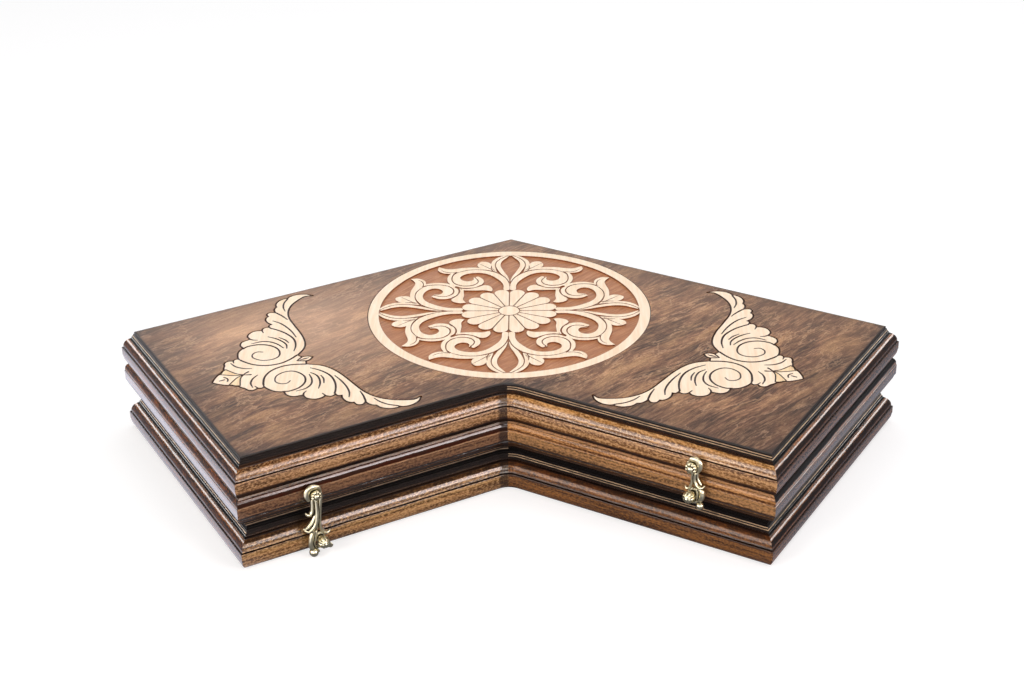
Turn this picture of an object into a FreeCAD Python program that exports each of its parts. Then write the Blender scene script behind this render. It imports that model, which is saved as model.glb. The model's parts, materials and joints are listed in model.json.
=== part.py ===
import FreeCAD, Part
import math
import os

# Three-player backgammon set, closed: three chevron trays folded onto each other in a Z.
# The bottom and top trays lie with their rims down and the middle tray with its rim up.
# The model is in millimetres, +Z up, with the notch facing -Y and the box's middle at x = y = 0.

V = FreeCAD.Vector
UP = V(0, 0, 1)

# Plan of a tray: two arms swung forward by the same angle, so the notch is open by 120 degrees
NOTCH_EDGE = 216.0
ARM_WIDTH = 226.0
ARM_ANGLE = 30.0
NOTCH_CORNER_R = 20.0

# Plywood panel that closes the back of a tray, with two small steps worked round its edge
PANEL_T = 5.0
PANEL_STEP_1 = 0.8
PANEL_STEP_2 = 1.5
PANEL_STEP_1_DEPTH = 2.0
PANEL_STEP_2_DEPTH = 3.5

# Moulded rail: offsets run outwards from the panel's edge, depths from the tray's back face
TRAY_H = 29.5
RAIL_INNER = 9.0
TOP_LEDGE = 2.3
TOP_LEDGE_DROP = 1.3
ROUND_START = 2.9
ROUND_END = 8.0
ROUND_DEPTH = 13.2
ROUND_BULGE = 1.2
QUIRK_OFFSET = 7.6
QUIRK_DEPTH = 13.8
BAND_OFFSET = 9.0
BAND_DEPTH = 14.4
RIM_STEP = 0.5
RIM_R = 4.3

# Carved medallion on the top panel, measured from the notch corner of the panel
MEDALLION_R = 114.5
MEDALLION_RING = 8.5
MEDALLION_Y = 120.0
MEDALLION_DEPTH = 0.8
DAISY_R = 39.0
DAISY_PETALS = 16
DAISY_HEART_R = 8.5
DAISY_GAP = 1.0

# Playing points inlaid in each field
POINTS_PER_ARM = 6
POINT_PITCH = 34.0
POINT_BASE = 29.0
POINT_LENGTH = 150.0
INLAY_T = 0.6

# Butt hinges, two on each hinged side
HINGE_LENGTH = 50.0
HINGE_FROM_END = 80.0
HINGE_LEAF_T = 1.2
HINGE_BARREL_R = 2.3
HINGE_PIN_R = 1.2
HINGE_PIN_CLEARANCE = 0.05
HINGE_KNUCKLES = 5
KNUCKLE_GAP = 0.3
BARREL_CLEARANCE = 0.3
LEAF_EDGE_CLEARANCE = 0.1
RIM_LEAF_REACH = 5.0
BACK_LEAF_REACH = 9.0
HINGE_GAP = 0.15

# Hook clasps: the long one holds the bottom tray to the middle one, the short one the lid
LONG_CLASP_ALONG = 167.0
SHORT_CLASP_ALONG = 161.5
LONG_REACH = 39.2
SHORT_REACH = 23.4
LONG_STUD_SIDE = 3.0
SHORT_STUD_SIDE = 0.4
LONG_TAIL = (1.0, 1.0)
SHORT_TAIL = (0.95, 0.75)
HOOK_T = 2.6
HOOK_STANDOFF = 2.4
HOOK_TILT = 4.0
HOOK_WASHER = 0.2
HOOK_DRAWING_UNIT = 1.0
EYE_SHIFT = (1.6, 1.2)
COLLAR_WALL = 1.6
COLLAR_PROUD = 0.3
CREST_R = 7.2
STEM_WAIST = 4.6
STEM_SHIFT = 0.5
PIVOT_R = 1.8
PIVOT_CLEARANCE = 0.08
PIVOT_ROOT = 9.0
ROSETTE_R = 5.0
ROSETTE_T = 2.2
BUTTON_R = 2.4
STUD_NECK_R = 2.0
STUD_CLEARANCE = 0.5
STUD_BASE_R = 5.6
STUD_BASE_T = 1.6
STUD_HEAD_R = 4.3
STUD_HEAD_CLEARANCE = 0.6
STUD_ROOT = 6.0
END_BALL_R = 3.6

# Levels of the closed stack
BOTTOM_BACK_Z = TRAY_H
MIDDLE_BACK_Z = TRAY_H
TOP_BACK_Z = 3 * TRAY_H
BAND_MID_DEPTH = (BAND_DEPTH + TRAY_H - RIM_R) / 2

NOTCH, FRONT_R, BACK_R, APEX, BACK_L, FRONT_L = range(6)
SIDE_NAMES = ["notch_rail_right", "end_rail_right", "back_rail_right",
              "back_rail_left", "end_rail_left", "notch_rail_left"]


def plan_corners():
    """Corners of the panel, anticlockwise from the notch, with the notch corner at 0, 0."""
    a = math.radians(ARM_ANGLE)
    along = V(math.cos(a), -math.sin(a), 0)
    across = V(math.sin(a), math.cos(a), 0)
    front = along * NOTCH_EDGE
    back = front + across * ARM_WIDTH
    apex = V(0, ARM_WIDTH / math.cos(a), 0)
    return [V(0, 0, 0), front, back, apex, V(-back.x, back.y, 0), V(-front.x, front.y, 0)]


def unit(vector):
    return vector * (1.0 / vector.Length)


def moved_outline(corners, offset):
    """The same outline with every edge moved outwards by offset."""
    moved = []
    count = len(corners)
    for i in range(count):
        before = unit(corners[i] - corners[i - 1])
        after = unit(corners[(i + 1) % count] - corners[i])
        n_before = V(before.y, -before.x, 0)
        n_after = V(after.y, -after.x, 0)
        bisector = n_before + n_after
        moved.append(corners[i] + bisector * (offset / (1 + n_before.dot(n_after))))
    return moved


def centred_corners():
    """Panel corners shifted so that the closed box's middle is at x = y = 0."""
    corners = plan_corners()
    outer = moved_outline(corners, BAND_OFFSET)
    low = min(p.y for p in outer)
    high = max(p.y for p in outer)
    shift = V(0, -(low + high) / 2, 0)
    return [p + shift for p in corners]


CORNERS = centred_corners()


def outline(offset):
    return moved_outline(CORNERS, offset)


def side_frame(side):
    """Frame of one side: x along it, y inwards, z up, from the panel corner where it starts."""
    start = CORNERS[side]
    along = unit(CORNERS[(side + 1) % 6] - start)
    inward = V(-along.y, along.x, 0)
    matrix = FreeCAD.Matrix(along.x, inward.x, 0, start.x,
                            along.y, inward.y, 0, start.y,
                            0, 0, 1, 0,
                            0, 0, 0, 1)
    return FreeCAD.Placement(matrix)


def side_length(side):
    return (CORNERS[(side + 1) % 6] - CORNERS[side]).Length


def placed(shape, side):
    moved = shape.copy()
    moved.Placement = side_frame(side).multiply(moved.Placement)
    return moved


def box(x0, x1, y0, y1, z0, z1):
    return Part.makeBox(x1 - x0, y1 - y0, z1 - z0, V(x0, y0, z0))


def prism(points, z0, z1):
    wire = Part.makePolygon([V(p.x, p.y, z0) for p in points] + [V(points[0].x, points[0].y, z0)])
    return Part.Face(wire).extrude(V(0, 0, z1 - z0))


def cylinder(radius, height, base, direction):
    return Part.makeCylinder(radius, height, base, direction)


def tidy(shape):
    return shape.removeSplitter()


class Tray:
    """Turns depths from a tray's back face into heights; the rim is either up or down."""

    def __init__(self, name, back_z, rim_up):
        self.name = name
        self.back_z = back_z
        self.sign = 1 if rim_up else -1

    def z(self, depth):
        return self.back_z + self.sign * depth

    def span(self, depth_a, depth_b):
        return sorted((self.z(depth_a), self.z(depth_b)))


BOTTOM = Tray("bottom", BOTTOM_BACK_Z, False)
MIDDLE = Tray("middle", MIDDLE_BACK_Z, True)
TOP = Tray("top", TOP_BACK_Z, False)


def round_mid():
    """Middle point of the big round, pushed out from its chord by the bulge."""
    start = V(ROUND_START, PANEL_T + TOP_LEDGE_DROP, 0)
    end = V(ROUND_END, ROUND_DEPTH, 0)
    chord = unit(end - start)
    return (start + end) * 0.5 + V(chord.y, -chord.x, 0) * ROUND_BULGE


def rail_section(tray, inner):
    """Section of a moulded rail from a given inner offset out, as a face across local x."""
    def p(offset, depth):
        return V(0, -offset, tray.z(depth))

    ledge = PANEL_T + TOP_LEDGE_DROP
    mid = round_mid()
    rim_x = BAND_OFFSET - RIM_STEP
    slope = RIM_R * (1 - math.sqrt(0.5))
    edges = [
        Part.LineSegment(p(inner, PANEL_T), p(TOP_LEDGE, PANEL_T)),
        Part.LineSegment(p(TOP_LEDGE, PANEL_T), p(TOP_LEDGE, ledge)),
        Part.LineSegment(p(TOP_LEDGE, ledge), p(ROUND_START, ledge)),
        Part.Arc(p(ROUND_START, ledge), p(mid.x, mid.y), p(ROUND_END, ROUND_DEPTH)),
        Part.LineSegment(p(ROUND_END, ROUND_DEPTH), p(QUIRK_OFFSET, QUIRK_DEPTH)),
        Part.LineSegment(p(QUIRK_OFFSET, QUIRK_DEPTH), p(BAND_OFFSET, BAND_DEPTH)),
        Part.LineSegment(p(BAND_OFFSET, BAND_DEPTH), p(BAND_OFFSET, TRAY_H - RIM_R)),
        Part.LineSegment(p(BAND_OFFSET, TRAY_H - RIM_R), p(rim_x, TRAY_H - RIM_R)),
        Part.Arc(p(rim_x, TRAY_H - RIM_R), p(rim_x - slope, TRAY_H - slope),
                 p(rim_x - RIM_R, TRAY_H)),
        Part.LineSegment(p(rim_x - RIM_R, TRAY_H), p(inner, TRAY_H)),
        Part.LineSegment(p(inner, TRAY_H), p(inner, PANEL_T)),
    ]
    return Part.Face(Part.Wire([e.toShape() for e in edges]))


def mitre_cell(side):
    """Plan cell of one side, bounded by the mitre planes at its two corners."""
    inner = outline(-2 * RAIL_INNER)
    outer = outline(2 * BAND_OFFSET)
    nxt = (side + 1) % 6
    return prism([inner[side], inner[nxt], outer[nxt], outer[side]], -1, TOP_BACK_Z + 1)


def straight_rail(tray, side, inner, start, end):
    section = rail_section(tray, inner)
    section.translate(V(start, 0, 0))
    return placed(section.extrude(V(end - start, 0, 0)), side)


def notch_turn(tray, side):
    """Quarter of the rounded notch corner: the section turned about the corner's centre."""
    centre = outline(NOTCH_CORNER_R)[NOTCH]
    tangent = NOTCH_CORNER_R * math.tan(math.radians(ARM_ANGLE))
    section = rail_section(tray, -RAIL_INNER)
    if side == NOTCH:
        section.translate(V(tangent, 0, 0))
        turn = ARM_ANGLE
    else:
        section.translate(V(side_length(side) - tangent, 0, 0))
        turn = -ARM_ANGLE
    return placed(section, side).revolve(centre, UP, turn)


def rail(tray, side):
    """One moulded rail of a tray, mitred at both ends."""
    reach = 3 * BAND_OFFSET
    length = side_length(side)
    if side not in (NOTCH, FRONT_L):
        return straight_rail(tray, side, -RAIL_INNER, -reach, length + reach).common(mitre_cell(side))
    tangent = NOTCH_CORNER_R * math.tan(math.radians(ARM_ANGLE))
    start, end = (tangent, length + reach) if side == NOTCH else (-reach, length - tangent)
    outer = straight_rail(tray, side, 0, start, end).common(mitre_cell(side))
    low, high = tray.span(PANEL_T, TRAY_H)
    core = placed(box(-reach, length + reach, 0, RAIL_INNER, low, high), side)
    core = core.common(mitre_cell(side))
    return tidy(core.fuse([outer, notch_turn(tray, side)]))


def chevron_wire(offset, z):
    """Outline of a panel layer with its notch corner rounded."""
    corners = [V(p.x, p.y, z) for p in outline(offset)]
    radius = NOTCH_CORNER_R - offset
    tangent = radius * math.tan(math.radians(ARM_ANGLE))
    notch = corners[NOTCH]
    right = notch + unit(corners[FRONT_R] - notch) * tangent
    left = notch + unit(corners[FRONT_L] - notch) * tangent
    centre = notch - V(0, radius / math.cos(math.radians(ARM_ANGLE)), 0)
    crown = centre + V(0, radius, 0)
    edges = [Part.Arc(left, crown, right).toShape()]
    points = [right] + corners[FRONT_R:] + [left]
    for a, b in zip(points, points[1:]):
        edges.append(Part.makeLine(a, b))
    return Part.Wire(edges)


def chevron_plate(tray, offset, depth_a, depth_b):
    low, high = tray.span(depth_a, depth_b)
    return Part.Face(chevron_wire(offset, low)).extrude(V(0, 0, high - low))


def point_outlines(arm):
    """Plan triangles of the playing points of one arm, base on the notch wall."""
    side = NOTCH if arm == "right" else FRONT_L
    length = side_length(side)
    wall_start = -RAIL_INNER * math.tan(math.radians(ARM_ANGLE))
    wall_end = NOTCH_EDGE - RAIL_INNER
    first = (wall_start + wall_end - (POINTS_PER_ARM - 1) * POINT_PITCH) / 2
    triangles = []
    for k in range(POINTS_PER_ARM):
        s = first + k * POINT_PITCH
        if side == FRONT_L:
            s = length - s
        local = [V(s - POINT_BASE / 2, RAIL_INNER, 0), V(s + POINT_BASE / 2, RAIL_INNER, 0),
                 V(s, RAIL_INNER + POINT_LENGTH, 0)]
        frame = side_frame(side)
        triangles.append([frame.multVec(q) for q in local])
    return triangles


def points(tray, tone):
    """Inlaid points of one tone: light and dark ones take turns along each arm."""
    low, high = tray.span(PANEL_T - INLAY_T, PANEL_T)
    shapes = []
    for arm in ("right", "left"):
        for k, triangle in enumerate(point_outlines(arm)):
            light = (k % 2 == 0) == (arm == "right")
            if light == (tone == "light"):
                shapes.append(prism(triangle, low, high))
    return Part.makeCompound(shapes)


def hinge_places(side):
    length = side_length(side)
    return [HINGE_FROM_END, length - HINGE_FROM_END]


def back_panel(tray, hinge_side=None):
    """Stepped panel with its points let in, and hinge leaves where the tray is hinged back."""
    layers = [chevron_plate(tray, 0, 0, PANEL_STEP_1_DEPTH),
              chevron_plate(tray, PANEL_STEP_1, PANEL_STEP_1_DEPTH, PANEL_STEP_2_DEPTH),
              chevron_plate(tray, PANEL_STEP_2, PANEL_STEP_2_DEPTH, PANEL_T)]
    panel = layers[0].fuse(layers[1:])
    cuts = points(tray, "light").Solids + points(tray, "dark").Solids
    if hinge_side is not None:
        for s in hinge_places(hinge_side):
            cuts.append(placed(leaf_block(tray, s, BACK_LEAF_REACH, 0), hinge_side))
    return tidy(panel.cut(cuts))


def medallion_middle():
    return CORNERS[NOTCH] + V(0, MEDALLION_Y, 0)


def petal(middle, angle, z):
    """One daisy petal: straight flanks from the heart and a round tip."""
    step = math.pi / DAISY_PETALS
    tip_r = (DAISY_R * math.sin(step) - DAISY_GAP / 2) / (1 + math.sin(step))
    tip_at = DAISY_R - tip_r
    root = DAISY_HEART_R + DAISY_GAP
    root_half = root * math.tan(step) - DAISY_GAP / 2
    flank = tip_at - tip_r * math.sin(step)
    half = tip_r * math.cos(step)
    a, b = V(root, -root_half, 0), V(flank, -half, 0)
    c, d = V(flank, half, 0), V(root, root_half, 0)
    wire = Part.Wire([Part.makeLine(a, b), Part.Arc(b, V(DAISY_R, 0, 0), c).toShape(),
                      Part.makeLine(c, d), Part.makeLine(d, a)])
    shape = Part.Face(wire).extrude(V(0, 0, MEDALLION_DEPTH))
    shape.rotate(V(0, 0, 0), UP, math.degrees(angle))
    shape.translate(middle + V(0, 0, z))
    return shape


def carved_panel():
    """Top panel: the round ground is cut down, and the daisy is left standing in it."""
    panel = back_panel(TOP)
    middle = medallion_middle()
    floor_z = TOP_BACK_Z - MEDALLION_DEPTH
    base = V(middle.x, middle.y, floor_z)
    ground = cylinder(MEDALLION_R - MEDALLION_RING, 2 * MEDALLION_DEPTH, base, UP)
    panel = panel.cut(ground)
    raised = [cylinder(DAISY_HEART_R, MEDALLION_DEPTH, base, UP)]
    for k in range(DAISY_PETALS):
        raised.append(petal(middle, 2 * math.pi * (k + 0.5) / DAISY_PETALS, floor_z))
    return panel.fuse(raised)


def axis_offset():
    """Offset of every hinge axis: just outside the faces that meet when the board is open."""
    return BAND_OFFSET + HINGE_GAP


def leaf_span(tray, depth):
    """Heights between which a leaf lies: it is let into the wood at the back or the rim."""
    into = HINGE_LEAF_T if depth == 0 else -HINGE_LEAF_T
    return tray.span(depth, depth + into)


def leaf_block(tray, s, reach, depth):
    """Space of one hinge leaf let into a flat face at the given depth."""
    low, high = leaf_span(tray, depth)
    half = HINGE_LENGTH / 2 + LEAF_EDGE_CLEARANCE
    return box(s - half, s + half, -axis_offset(), reach + LEAF_EDGE_CLEARANCE, low, high)


def hinge_leaves(tray, side, reach, depth, odd):
    """Two leaves of one tray with every second knuckle rolled round the pin."""
    axis_z = tray.z(depth)
    knuckle = HINGE_LENGTH / HINGE_KNUCKLES
    leaves = []
    for s in hinge_places(side):
        low, high = leaf_span(tray, depth)
        leaf = box(s - HINGE_LENGTH / 2, s + HINGE_LENGTH / 2, -axis_offset(), reach, low, high)
        for k in range(HINGE_KNUCKLES):
            x = s - HINGE_LENGTH / 2 + k * knuckle
            if (k % 2 == 1) == odd:
                roll = cylinder(HINGE_BARREL_R, knuckle - KNUCKLE_GAP,
                                V(x + KNUCKLE_GAP / 2, -axis_offset(), axis_z), V(1, 0, 0))
                leaf = leaf.fuse(roll)
            else:
                gap = cylinder(HINGE_BARREL_R + BARREL_CLEARANCE, knuckle + KNUCKLE_GAP,
                               V(x - KNUCKLE_GAP / 2, -axis_offset(), axis_z), V(1, 0, 0))
                leaf = leaf.cut(gap)
        bore = cylinder(HINGE_PIN_R + HINGE_PIN_CLEARANCE, HINGE_LENGTH,
                        V(s - HINGE_LENGTH / 2, -axis_offset(), axis_z), V(1, 0, 0))
        leaves.append(placed(tidy(leaf.cut(bore)), side))
    return Part.makeCompound(leaves)


def hinge_pins(tray, side, depth):
    solids = []
    for s in hinge_places(side):
        start = V(s - HINGE_LENGTH / 2, -axis_offset(), tray.z(depth))
        solids.append(placed(cylinder(HINGE_PIN_R, HINGE_LENGTH, start, V(1, 0, 0)), side))
    return Part.makeCompound(solids)


def rim_mortises(tray, side):
    """Cuts for the leaves and the barrels of hinges let into a rim."""
    cuts = []
    for s in hinge_places(side):
        cuts.append(leaf_block(tray, s, RIM_LEAF_REACH, TRAY_H))
        start = V(s - HINGE_LENGTH / 2 - BARREL_CLEARANCE, -axis_offset(), tray.z(TRAY_H))
        cuts.append(cylinder(HINGE_BARREL_R + BARREL_CLEARANCE, HINGE_LENGTH + 2 * BARREL_CLEARANCE,
                             start, V(1, 0, 0)))
    return [placed(c, side) for c in cuts]


class Clasp:
    """A hook clasp on one notch side: pivot on the upper tray, stud on the lower one.

    Local drawing plane: x runs away from the notch corner, y runs up, both from the pivot.
    """

    def __init__(self, name, side, along, upper, reach, stud_side, tail):
        self.name = name
        self.side = side
        self.out = 1 if side == NOTCH else -1
        self.s = along if side == NOTCH else side_length(side) - along
        self.pivot_z = upper.z(BAND_MID_DEPTH)
        self.reach = reach
        self.tail = tail
        self.stud = (-stud_side, -math.sqrt(reach ** 2 - stud_side ** 2))

    def by_eye(self, x, y):
        """Point of the hook's drawing, given from the pivot."""
        return x * HOOK_DRAWING_UNIT, y * HOOK_DRAWING_UNIT

    def by_stud(self, x, y):
        """Point of the hook's tail, given from the stud and drawn to the tail's proportions."""
        drawn = self.by_eye(x * self.tail[0], y * self.tail[1])
        return self.stud[0] + drawn[0], self.stud[1] + drawn[1]

    def face(self, x, y, offset=0.0):
        """Point of the drawing plane, as a point of the side's frame round the pivot."""
        return V(self.out * x, -offset, y)

    def seat(self, shape):
        """Carries a shape drawn round the pivot to its place on the case."""
        shape.translate(V(self.s, 0, self.pivot_z))
        return placed(tidy(shape), self.side)

    def pin(self, radius, x, y, offset_a, offset_b):
        return cylinder(radius, offset_b - offset_a, self.face(x, y, offset_a), V(0, -1, 0))

    def patch(self, corners, thick):
        """Flat piece whose edges are arcs: each corner comes with the middle of the next edge."""
        edges = []
        for i, (corner, bow) in enumerate(corners):
            start, end = self.face(*corner), self.face(*corners[(i + 1) % len(corners)][0])
            if bow is None:
                edges.append(Part.makeLine(start, end))
            else:
                edges.append(Part.Arc(start, self.face(*bow), end).toShape())
        return Part.Face(Part.Wire(edges)).extrude(V(0, -thick, 0))


def hook_stem(clasp):
    """Stem from the eye down to the leaf tips, waisted on both sides."""
    inner_end = clasp.by_stud(0.8, 17.0)
    outer_end = clasp.by_stud(6.2, 17.0)
    inner_top = clasp.by_eye(-3.4, -3.0)
    outer_top = clasp.by_eye(4.6, -3.0)
    middle = (inner_top[1] + inner_end[1]) / 2
    waist = STEM_WAIST / 2
    return [(inner_top, (STEM_SHIFT - waist, middle)), (inner_end, None),
            (outer_end, (STEM_SHIFT + waist, middle)), (outer_top, None)]


def hook_leaves(clasp):
    """The two flared leaf tips that end the strands of the stem."""
    at = clasp.by_stud
    outer = [(at(3.2, 25.5), at(8.2, 20.4)), (at(14.2, 17.4), at(11.6, 13.2)),
             (at(7.4, 13.2), at(4.6, 19.0))]
    inner = [(at(4.4, 20.0), at(4.2, 14.0)), (at(2.2, 9.6), at(-1.4, 7.6)),
             (at(-5.2, 10.2), at(-0.6, 13.4)), (at(0.9, 20.0), None)]
    return [outer, inner]


def hook_curl(clasp):
    """Small side curl of the long hook's stem."""
    at = clasp.by_eye
    return [(at(2.0, -6.5), at(3.0, -12.0)), (at(5.2, -12.6), at(7.0, -12.4)),
            (at(8.6, -11.4), at(6.9, -15.6)), (at(3.0, -14.4), at(0.9, -12.8)), (at(1.0, -7.0), None)]


def hook_lobe(clasp):
    """Thick bend that passes the stud on its outer side and ends in a finger under it."""
    at = clasp.by_stud
    grip = STUD_NECK_R + STUD_CLEARANCE
    sx, sy = clasp.stud
    side = (sx + grip, sy)
    under = (sx, sy - grip)
    bite = (sx + grip * math.sqrt(0.5), sy - grip * math.sqrt(0.5))
    finger_end = (at(-4.6, 0)[0], sy - grip)
    return [(at(3.0, 13.0), at(3.9, 6.0)), (side, bite), (under, None), (finger_end, None),
            (at(-3.8, -5.4), at(2.0, -6.6)), (at(8.0, -5.2), at(12.3, 4.4)), (at(7.6, 14.0), None)]


def hook(clasp, with_curl):
    """Cast hook: round eye, stem, two leaf tips, the bend round the stud and an end ball."""
    pieces = [clasp.patch(hook_stem(clasp), HOOK_T), clasp.patch(hook_lobe(clasp), HOOK_T)]
    pieces += [clasp.patch(leaf, HOOK_T) for leaf in hook_leaves(clasp)]
    if with_curl:
        pieces.append(clasp.patch(hook_curl(clasp), HOOK_T))
    eye = cylinder(CREST_R, HOOK_T, clasp.face(*clasp.by_eye(*EYE_SHIFT)), V(0, -1, 0))
    ball_x, ball_y = clasp.by_stud(7.9, -6.4)
    ball_r = END_BALL_R * clasp.tail[1] ** 0.5
    ball = Part.makeSphere(ball_r, clasp.face(ball_x, ball_y, HOOK_T))
    body = eye.fuse(pieces + [ball])
    body.rotate(V(0, 0, 0), V(1, 0, 0), -HOOK_TILT)
    body.translate(V(0, -HOOK_STANDOFF - BAND_OFFSET, 0))
    collar_start = BAND_OFFSET + HOOK_WASHER
    collar_end = BAND_OFFSET + HOOK_STANDOFF + HOOK_T + COLLAR_PROUD
    collar = clasp.pin(PIVOT_R + COLLAR_WALL, 0, 0, collar_start, collar_end)
    bore = clasp.pin(PIVOT_R + PIVOT_CLEARANCE, 0, 0, 0, 5 * BAND_OFFSET)
    trim = clasp.pin(ROSETTE_R + 2 * HOOK_WASHER, 0, 0, collar_end, 5 * BAND_OFFSET)
    return clasp.seat(body.fuse(collar).cut([bore, trim]))


def pivot_screw(clasp):
    """Screw with a rosette head that carries the hook."""
    head_at = BAND_OFFSET + HOOK_STANDOFF + HOOK_T + COLLAR_PROUD + HOOK_WASHER
    shank = clasp.pin(PIVOT_R, 0, 0, BAND_OFFSET - PIVOT_ROOT, head_at + ROSETTE_T / 4)
    head = clasp.pin(ROSETTE_R, 0, 0, head_at, head_at + ROSETTE_T)
    button = Part.makeSphere(BUTTON_R, clasp.face(0, 0, head_at + ROSETTE_T - BUTTON_R / 4))
    return clasp.seat(shank.fuse([head, button]))


def catch_stud(clasp):
    """Stud that the hook closes on: leaf-shaped base, neck and round head."""
    x, y = clasp.stud
    tilt = math.radians(HOOK_TILT)
    lean = clasp.reach * math.tan(tilt)
    hook_front = HOOK_STANDOFF + HOOK_T / math.cos(tilt) + lean
    neck_end = BAND_OFFSET + hook_front + STUD_HEAD_CLEARANCE
    root = clasp.pin(PIVOT_R, x, y, BAND_OFFSET - STUD_ROOT, BAND_OFFSET)
    base = clasp.pin(STUD_BASE_R, x, y, BAND_OFFSET, BAND_OFFSET + STUD_BASE_T)
    leaf_bow = clasp.by_eye(-6.5, 3.4)
    leaf_tip = clasp.by_eye(-9.6, -4.2)
    leaf_sag = clasp.by_eye(-5.0, -6.2)
    leaf = clasp.patch([((x, y + STUD_BASE_R), (x + leaf_bow[0], y + leaf_bow[1])),
                        ((x + leaf_tip[0], y + leaf_tip[1]), (x + leaf_sag[0], y + leaf_sag[1])),
                        ((x, y - STUD_BASE_R), None)], STUD_BASE_T)
    leaf.translate(V(0, -BAND_OFFSET, 0))
    neck = clasp.pin(STUD_NECK_R, x, y, BAND_OFFSET, neck_end + STUD_HEAD_R / 4)
    head = Part.makeSphere(STUD_HEAD_R, clasp.face(x, y, neck_end + 0.7 * STUD_HEAD_R))
    flat = clasp.pin(2 * STUD_HEAD_R, x, y, neck_end - 2 * STUD_HEAD_R, neck_end)
    return clasp.seat(root.fuse([base, leaf, neck, head.cut(flat)]))


def screw_bore(clasp, x, y, depth):
    bore = clasp.pin(PIVOT_R, x, y, BAND_OFFSET - depth, BAND_OFFSET + 1)
    return clasp.seat(bore)


LONG_CLASP = Clasp("left", FRONT_L, LONG_CLASP_ALONG, MIDDLE, LONG_REACH, LONG_STUD_SIDE, LONG_TAIL)
SHORT_CLASP = Clasp("right", NOTCH, SHORT_CLASP_ALONG, TOP, SHORT_REACH, SHORT_STUD_SIDE, SHORT_TAIL)


def build():
    nodes = {}
    cuts = {
        ("middle", BACK_R): rim_mortises(MIDDLE, BACK_R),
        ("top", BACK_R): rim_mortises(TOP, BACK_R),
        ("middle", FRONT_L): [screw_bore(LONG_CLASP, 0, 0, PIVOT_ROOT)],
        ("bottom", FRONT_L): [screw_bore(LONG_CLASP, *LONG_CLASP.stud, STUD_ROOT)],
        ("top", NOTCH): [screw_bore(SHORT_CLASP, 0, 0, PIVOT_ROOT)],
        ("middle", NOTCH): [screw_bore(SHORT_CLASP, *SHORT_CLASP.stud, STUD_ROOT)],
    }
    for tray in (BOTTOM, MIDDLE, TOP):
        for side, side_name in enumerate(SIDE_NAMES):
            shape = rail(tray, side)
            tools = cuts.get((tray.name, side))
            if tools:
                shape = shape.cut(tools)
            nodes[f"{tray.name}_{side_name}"] = shape
        for tone in ("light", "dark"):
            nodes[f"{tray.name}_points_{tone}"] = points(tray, tone)
    nodes["bottom_panel"] = back_panel(BOTTOM, APEX)
    nodes["middle_panel"] = back_panel(MIDDLE, APEX)
    nodes["top_carved_panel"] = carved_panel()

    nodes["lid_hinge_lower_leaves"] = hinge_leaves(MIDDLE, BACK_R, RIM_LEAF_REACH, TRAY_H, False)
    nodes["lid_hinge_upper_leaves"] = hinge_leaves(TOP, BACK_R, RIM_LEAF_REACH, TRAY_H, True)
    nodes["lid_hinge_pins"] = hinge_pins(MIDDLE, BACK_R, TRAY_H)
    nodes["base_hinge_upper_leaves"] = hinge_leaves(MIDDLE, APEX, BACK_LEAF_REACH, 0, False)
    nodes["base_hinge_lower_leaves"] = hinge_leaves(BOTTOM, APEX, BACK_LEAF_REACH, 0, True)
    nodes["base_hinge_pins"] = hinge_pins(MIDDLE, APEX, 0)

    for clasp in (LONG_CLASP, SHORT_CLASP):
        nodes[f"{clasp.name}_hook"] = hook(clasp, clasp is LONG_CLASP)
        nodes[f"{clasp.name}_hook_pivot_screw"] = pivot_screw(clasp)
        nodes[f"{clasp.name}_catch_stud"] = catch_stud(clasp)

    return nodes


os.makedirs("parts", exist_ok=True)
for node_name, node_shape in build().items():
    node_shape.exportStep(f"parts/{node_name}.step")
    valid = all(s.isValid() for s in node_shape.Solids)
    print(node_name, len(node_shape.Solids), "solids", round(node_shape.Volume / 1000, 2), "cm3", valid)
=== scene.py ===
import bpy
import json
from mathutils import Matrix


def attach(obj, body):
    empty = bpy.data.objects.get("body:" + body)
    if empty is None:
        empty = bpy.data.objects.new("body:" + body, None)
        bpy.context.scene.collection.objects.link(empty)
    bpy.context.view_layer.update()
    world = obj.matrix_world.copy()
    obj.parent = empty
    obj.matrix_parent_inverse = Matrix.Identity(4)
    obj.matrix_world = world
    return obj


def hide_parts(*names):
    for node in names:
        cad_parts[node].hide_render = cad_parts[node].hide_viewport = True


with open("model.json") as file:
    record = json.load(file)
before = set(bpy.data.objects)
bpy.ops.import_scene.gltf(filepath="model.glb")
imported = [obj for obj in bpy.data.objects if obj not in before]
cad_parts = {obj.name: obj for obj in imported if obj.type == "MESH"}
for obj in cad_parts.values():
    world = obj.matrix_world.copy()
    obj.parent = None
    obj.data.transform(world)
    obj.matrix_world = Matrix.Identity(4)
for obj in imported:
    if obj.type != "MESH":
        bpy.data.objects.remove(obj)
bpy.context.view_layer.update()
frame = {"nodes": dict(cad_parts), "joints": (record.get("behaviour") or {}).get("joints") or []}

import json
import math

import bmesh
import bpy
import numpy as np
from mathutils import Matrix, Vector
from mathutils.geometry import tessellate_polygon


# Moulded rails: six lengths of one hardwood moulding frame each tray, mitred at the corners
# and glued. The moulding is run on a spindle moulder: ledge, big round, quirk, flat band
# and a rounded rim. It is stained brown and lacquered, with painted shade in the quirks and
# on the faces turned down to the joints and the table.
TRAY_HEIGHT = 29.5
PANEL_THICK = 5.0
NOTCH_EDGE = 216.0
ARM_WIDTH = 226.0
ARM_ANGLE = math.radians(30)
NOTCH_CORNER_R = 20.0
NOTCH_STEPS = 8
BAND_OFFSET = 9.0
RAIL_INNER = -9.0
RAIL_NAMES = ["notch_rail", "end_rail", "back_rail"]

# Height of each tray's back face, and the way from there to its rim
TRAYS = {"bottom": (TRAY_HEIGHT, -1), "middle": (TRAY_HEIGHT, 1), "top": (3 * TRAY_HEIGHT, -1)}


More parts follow.
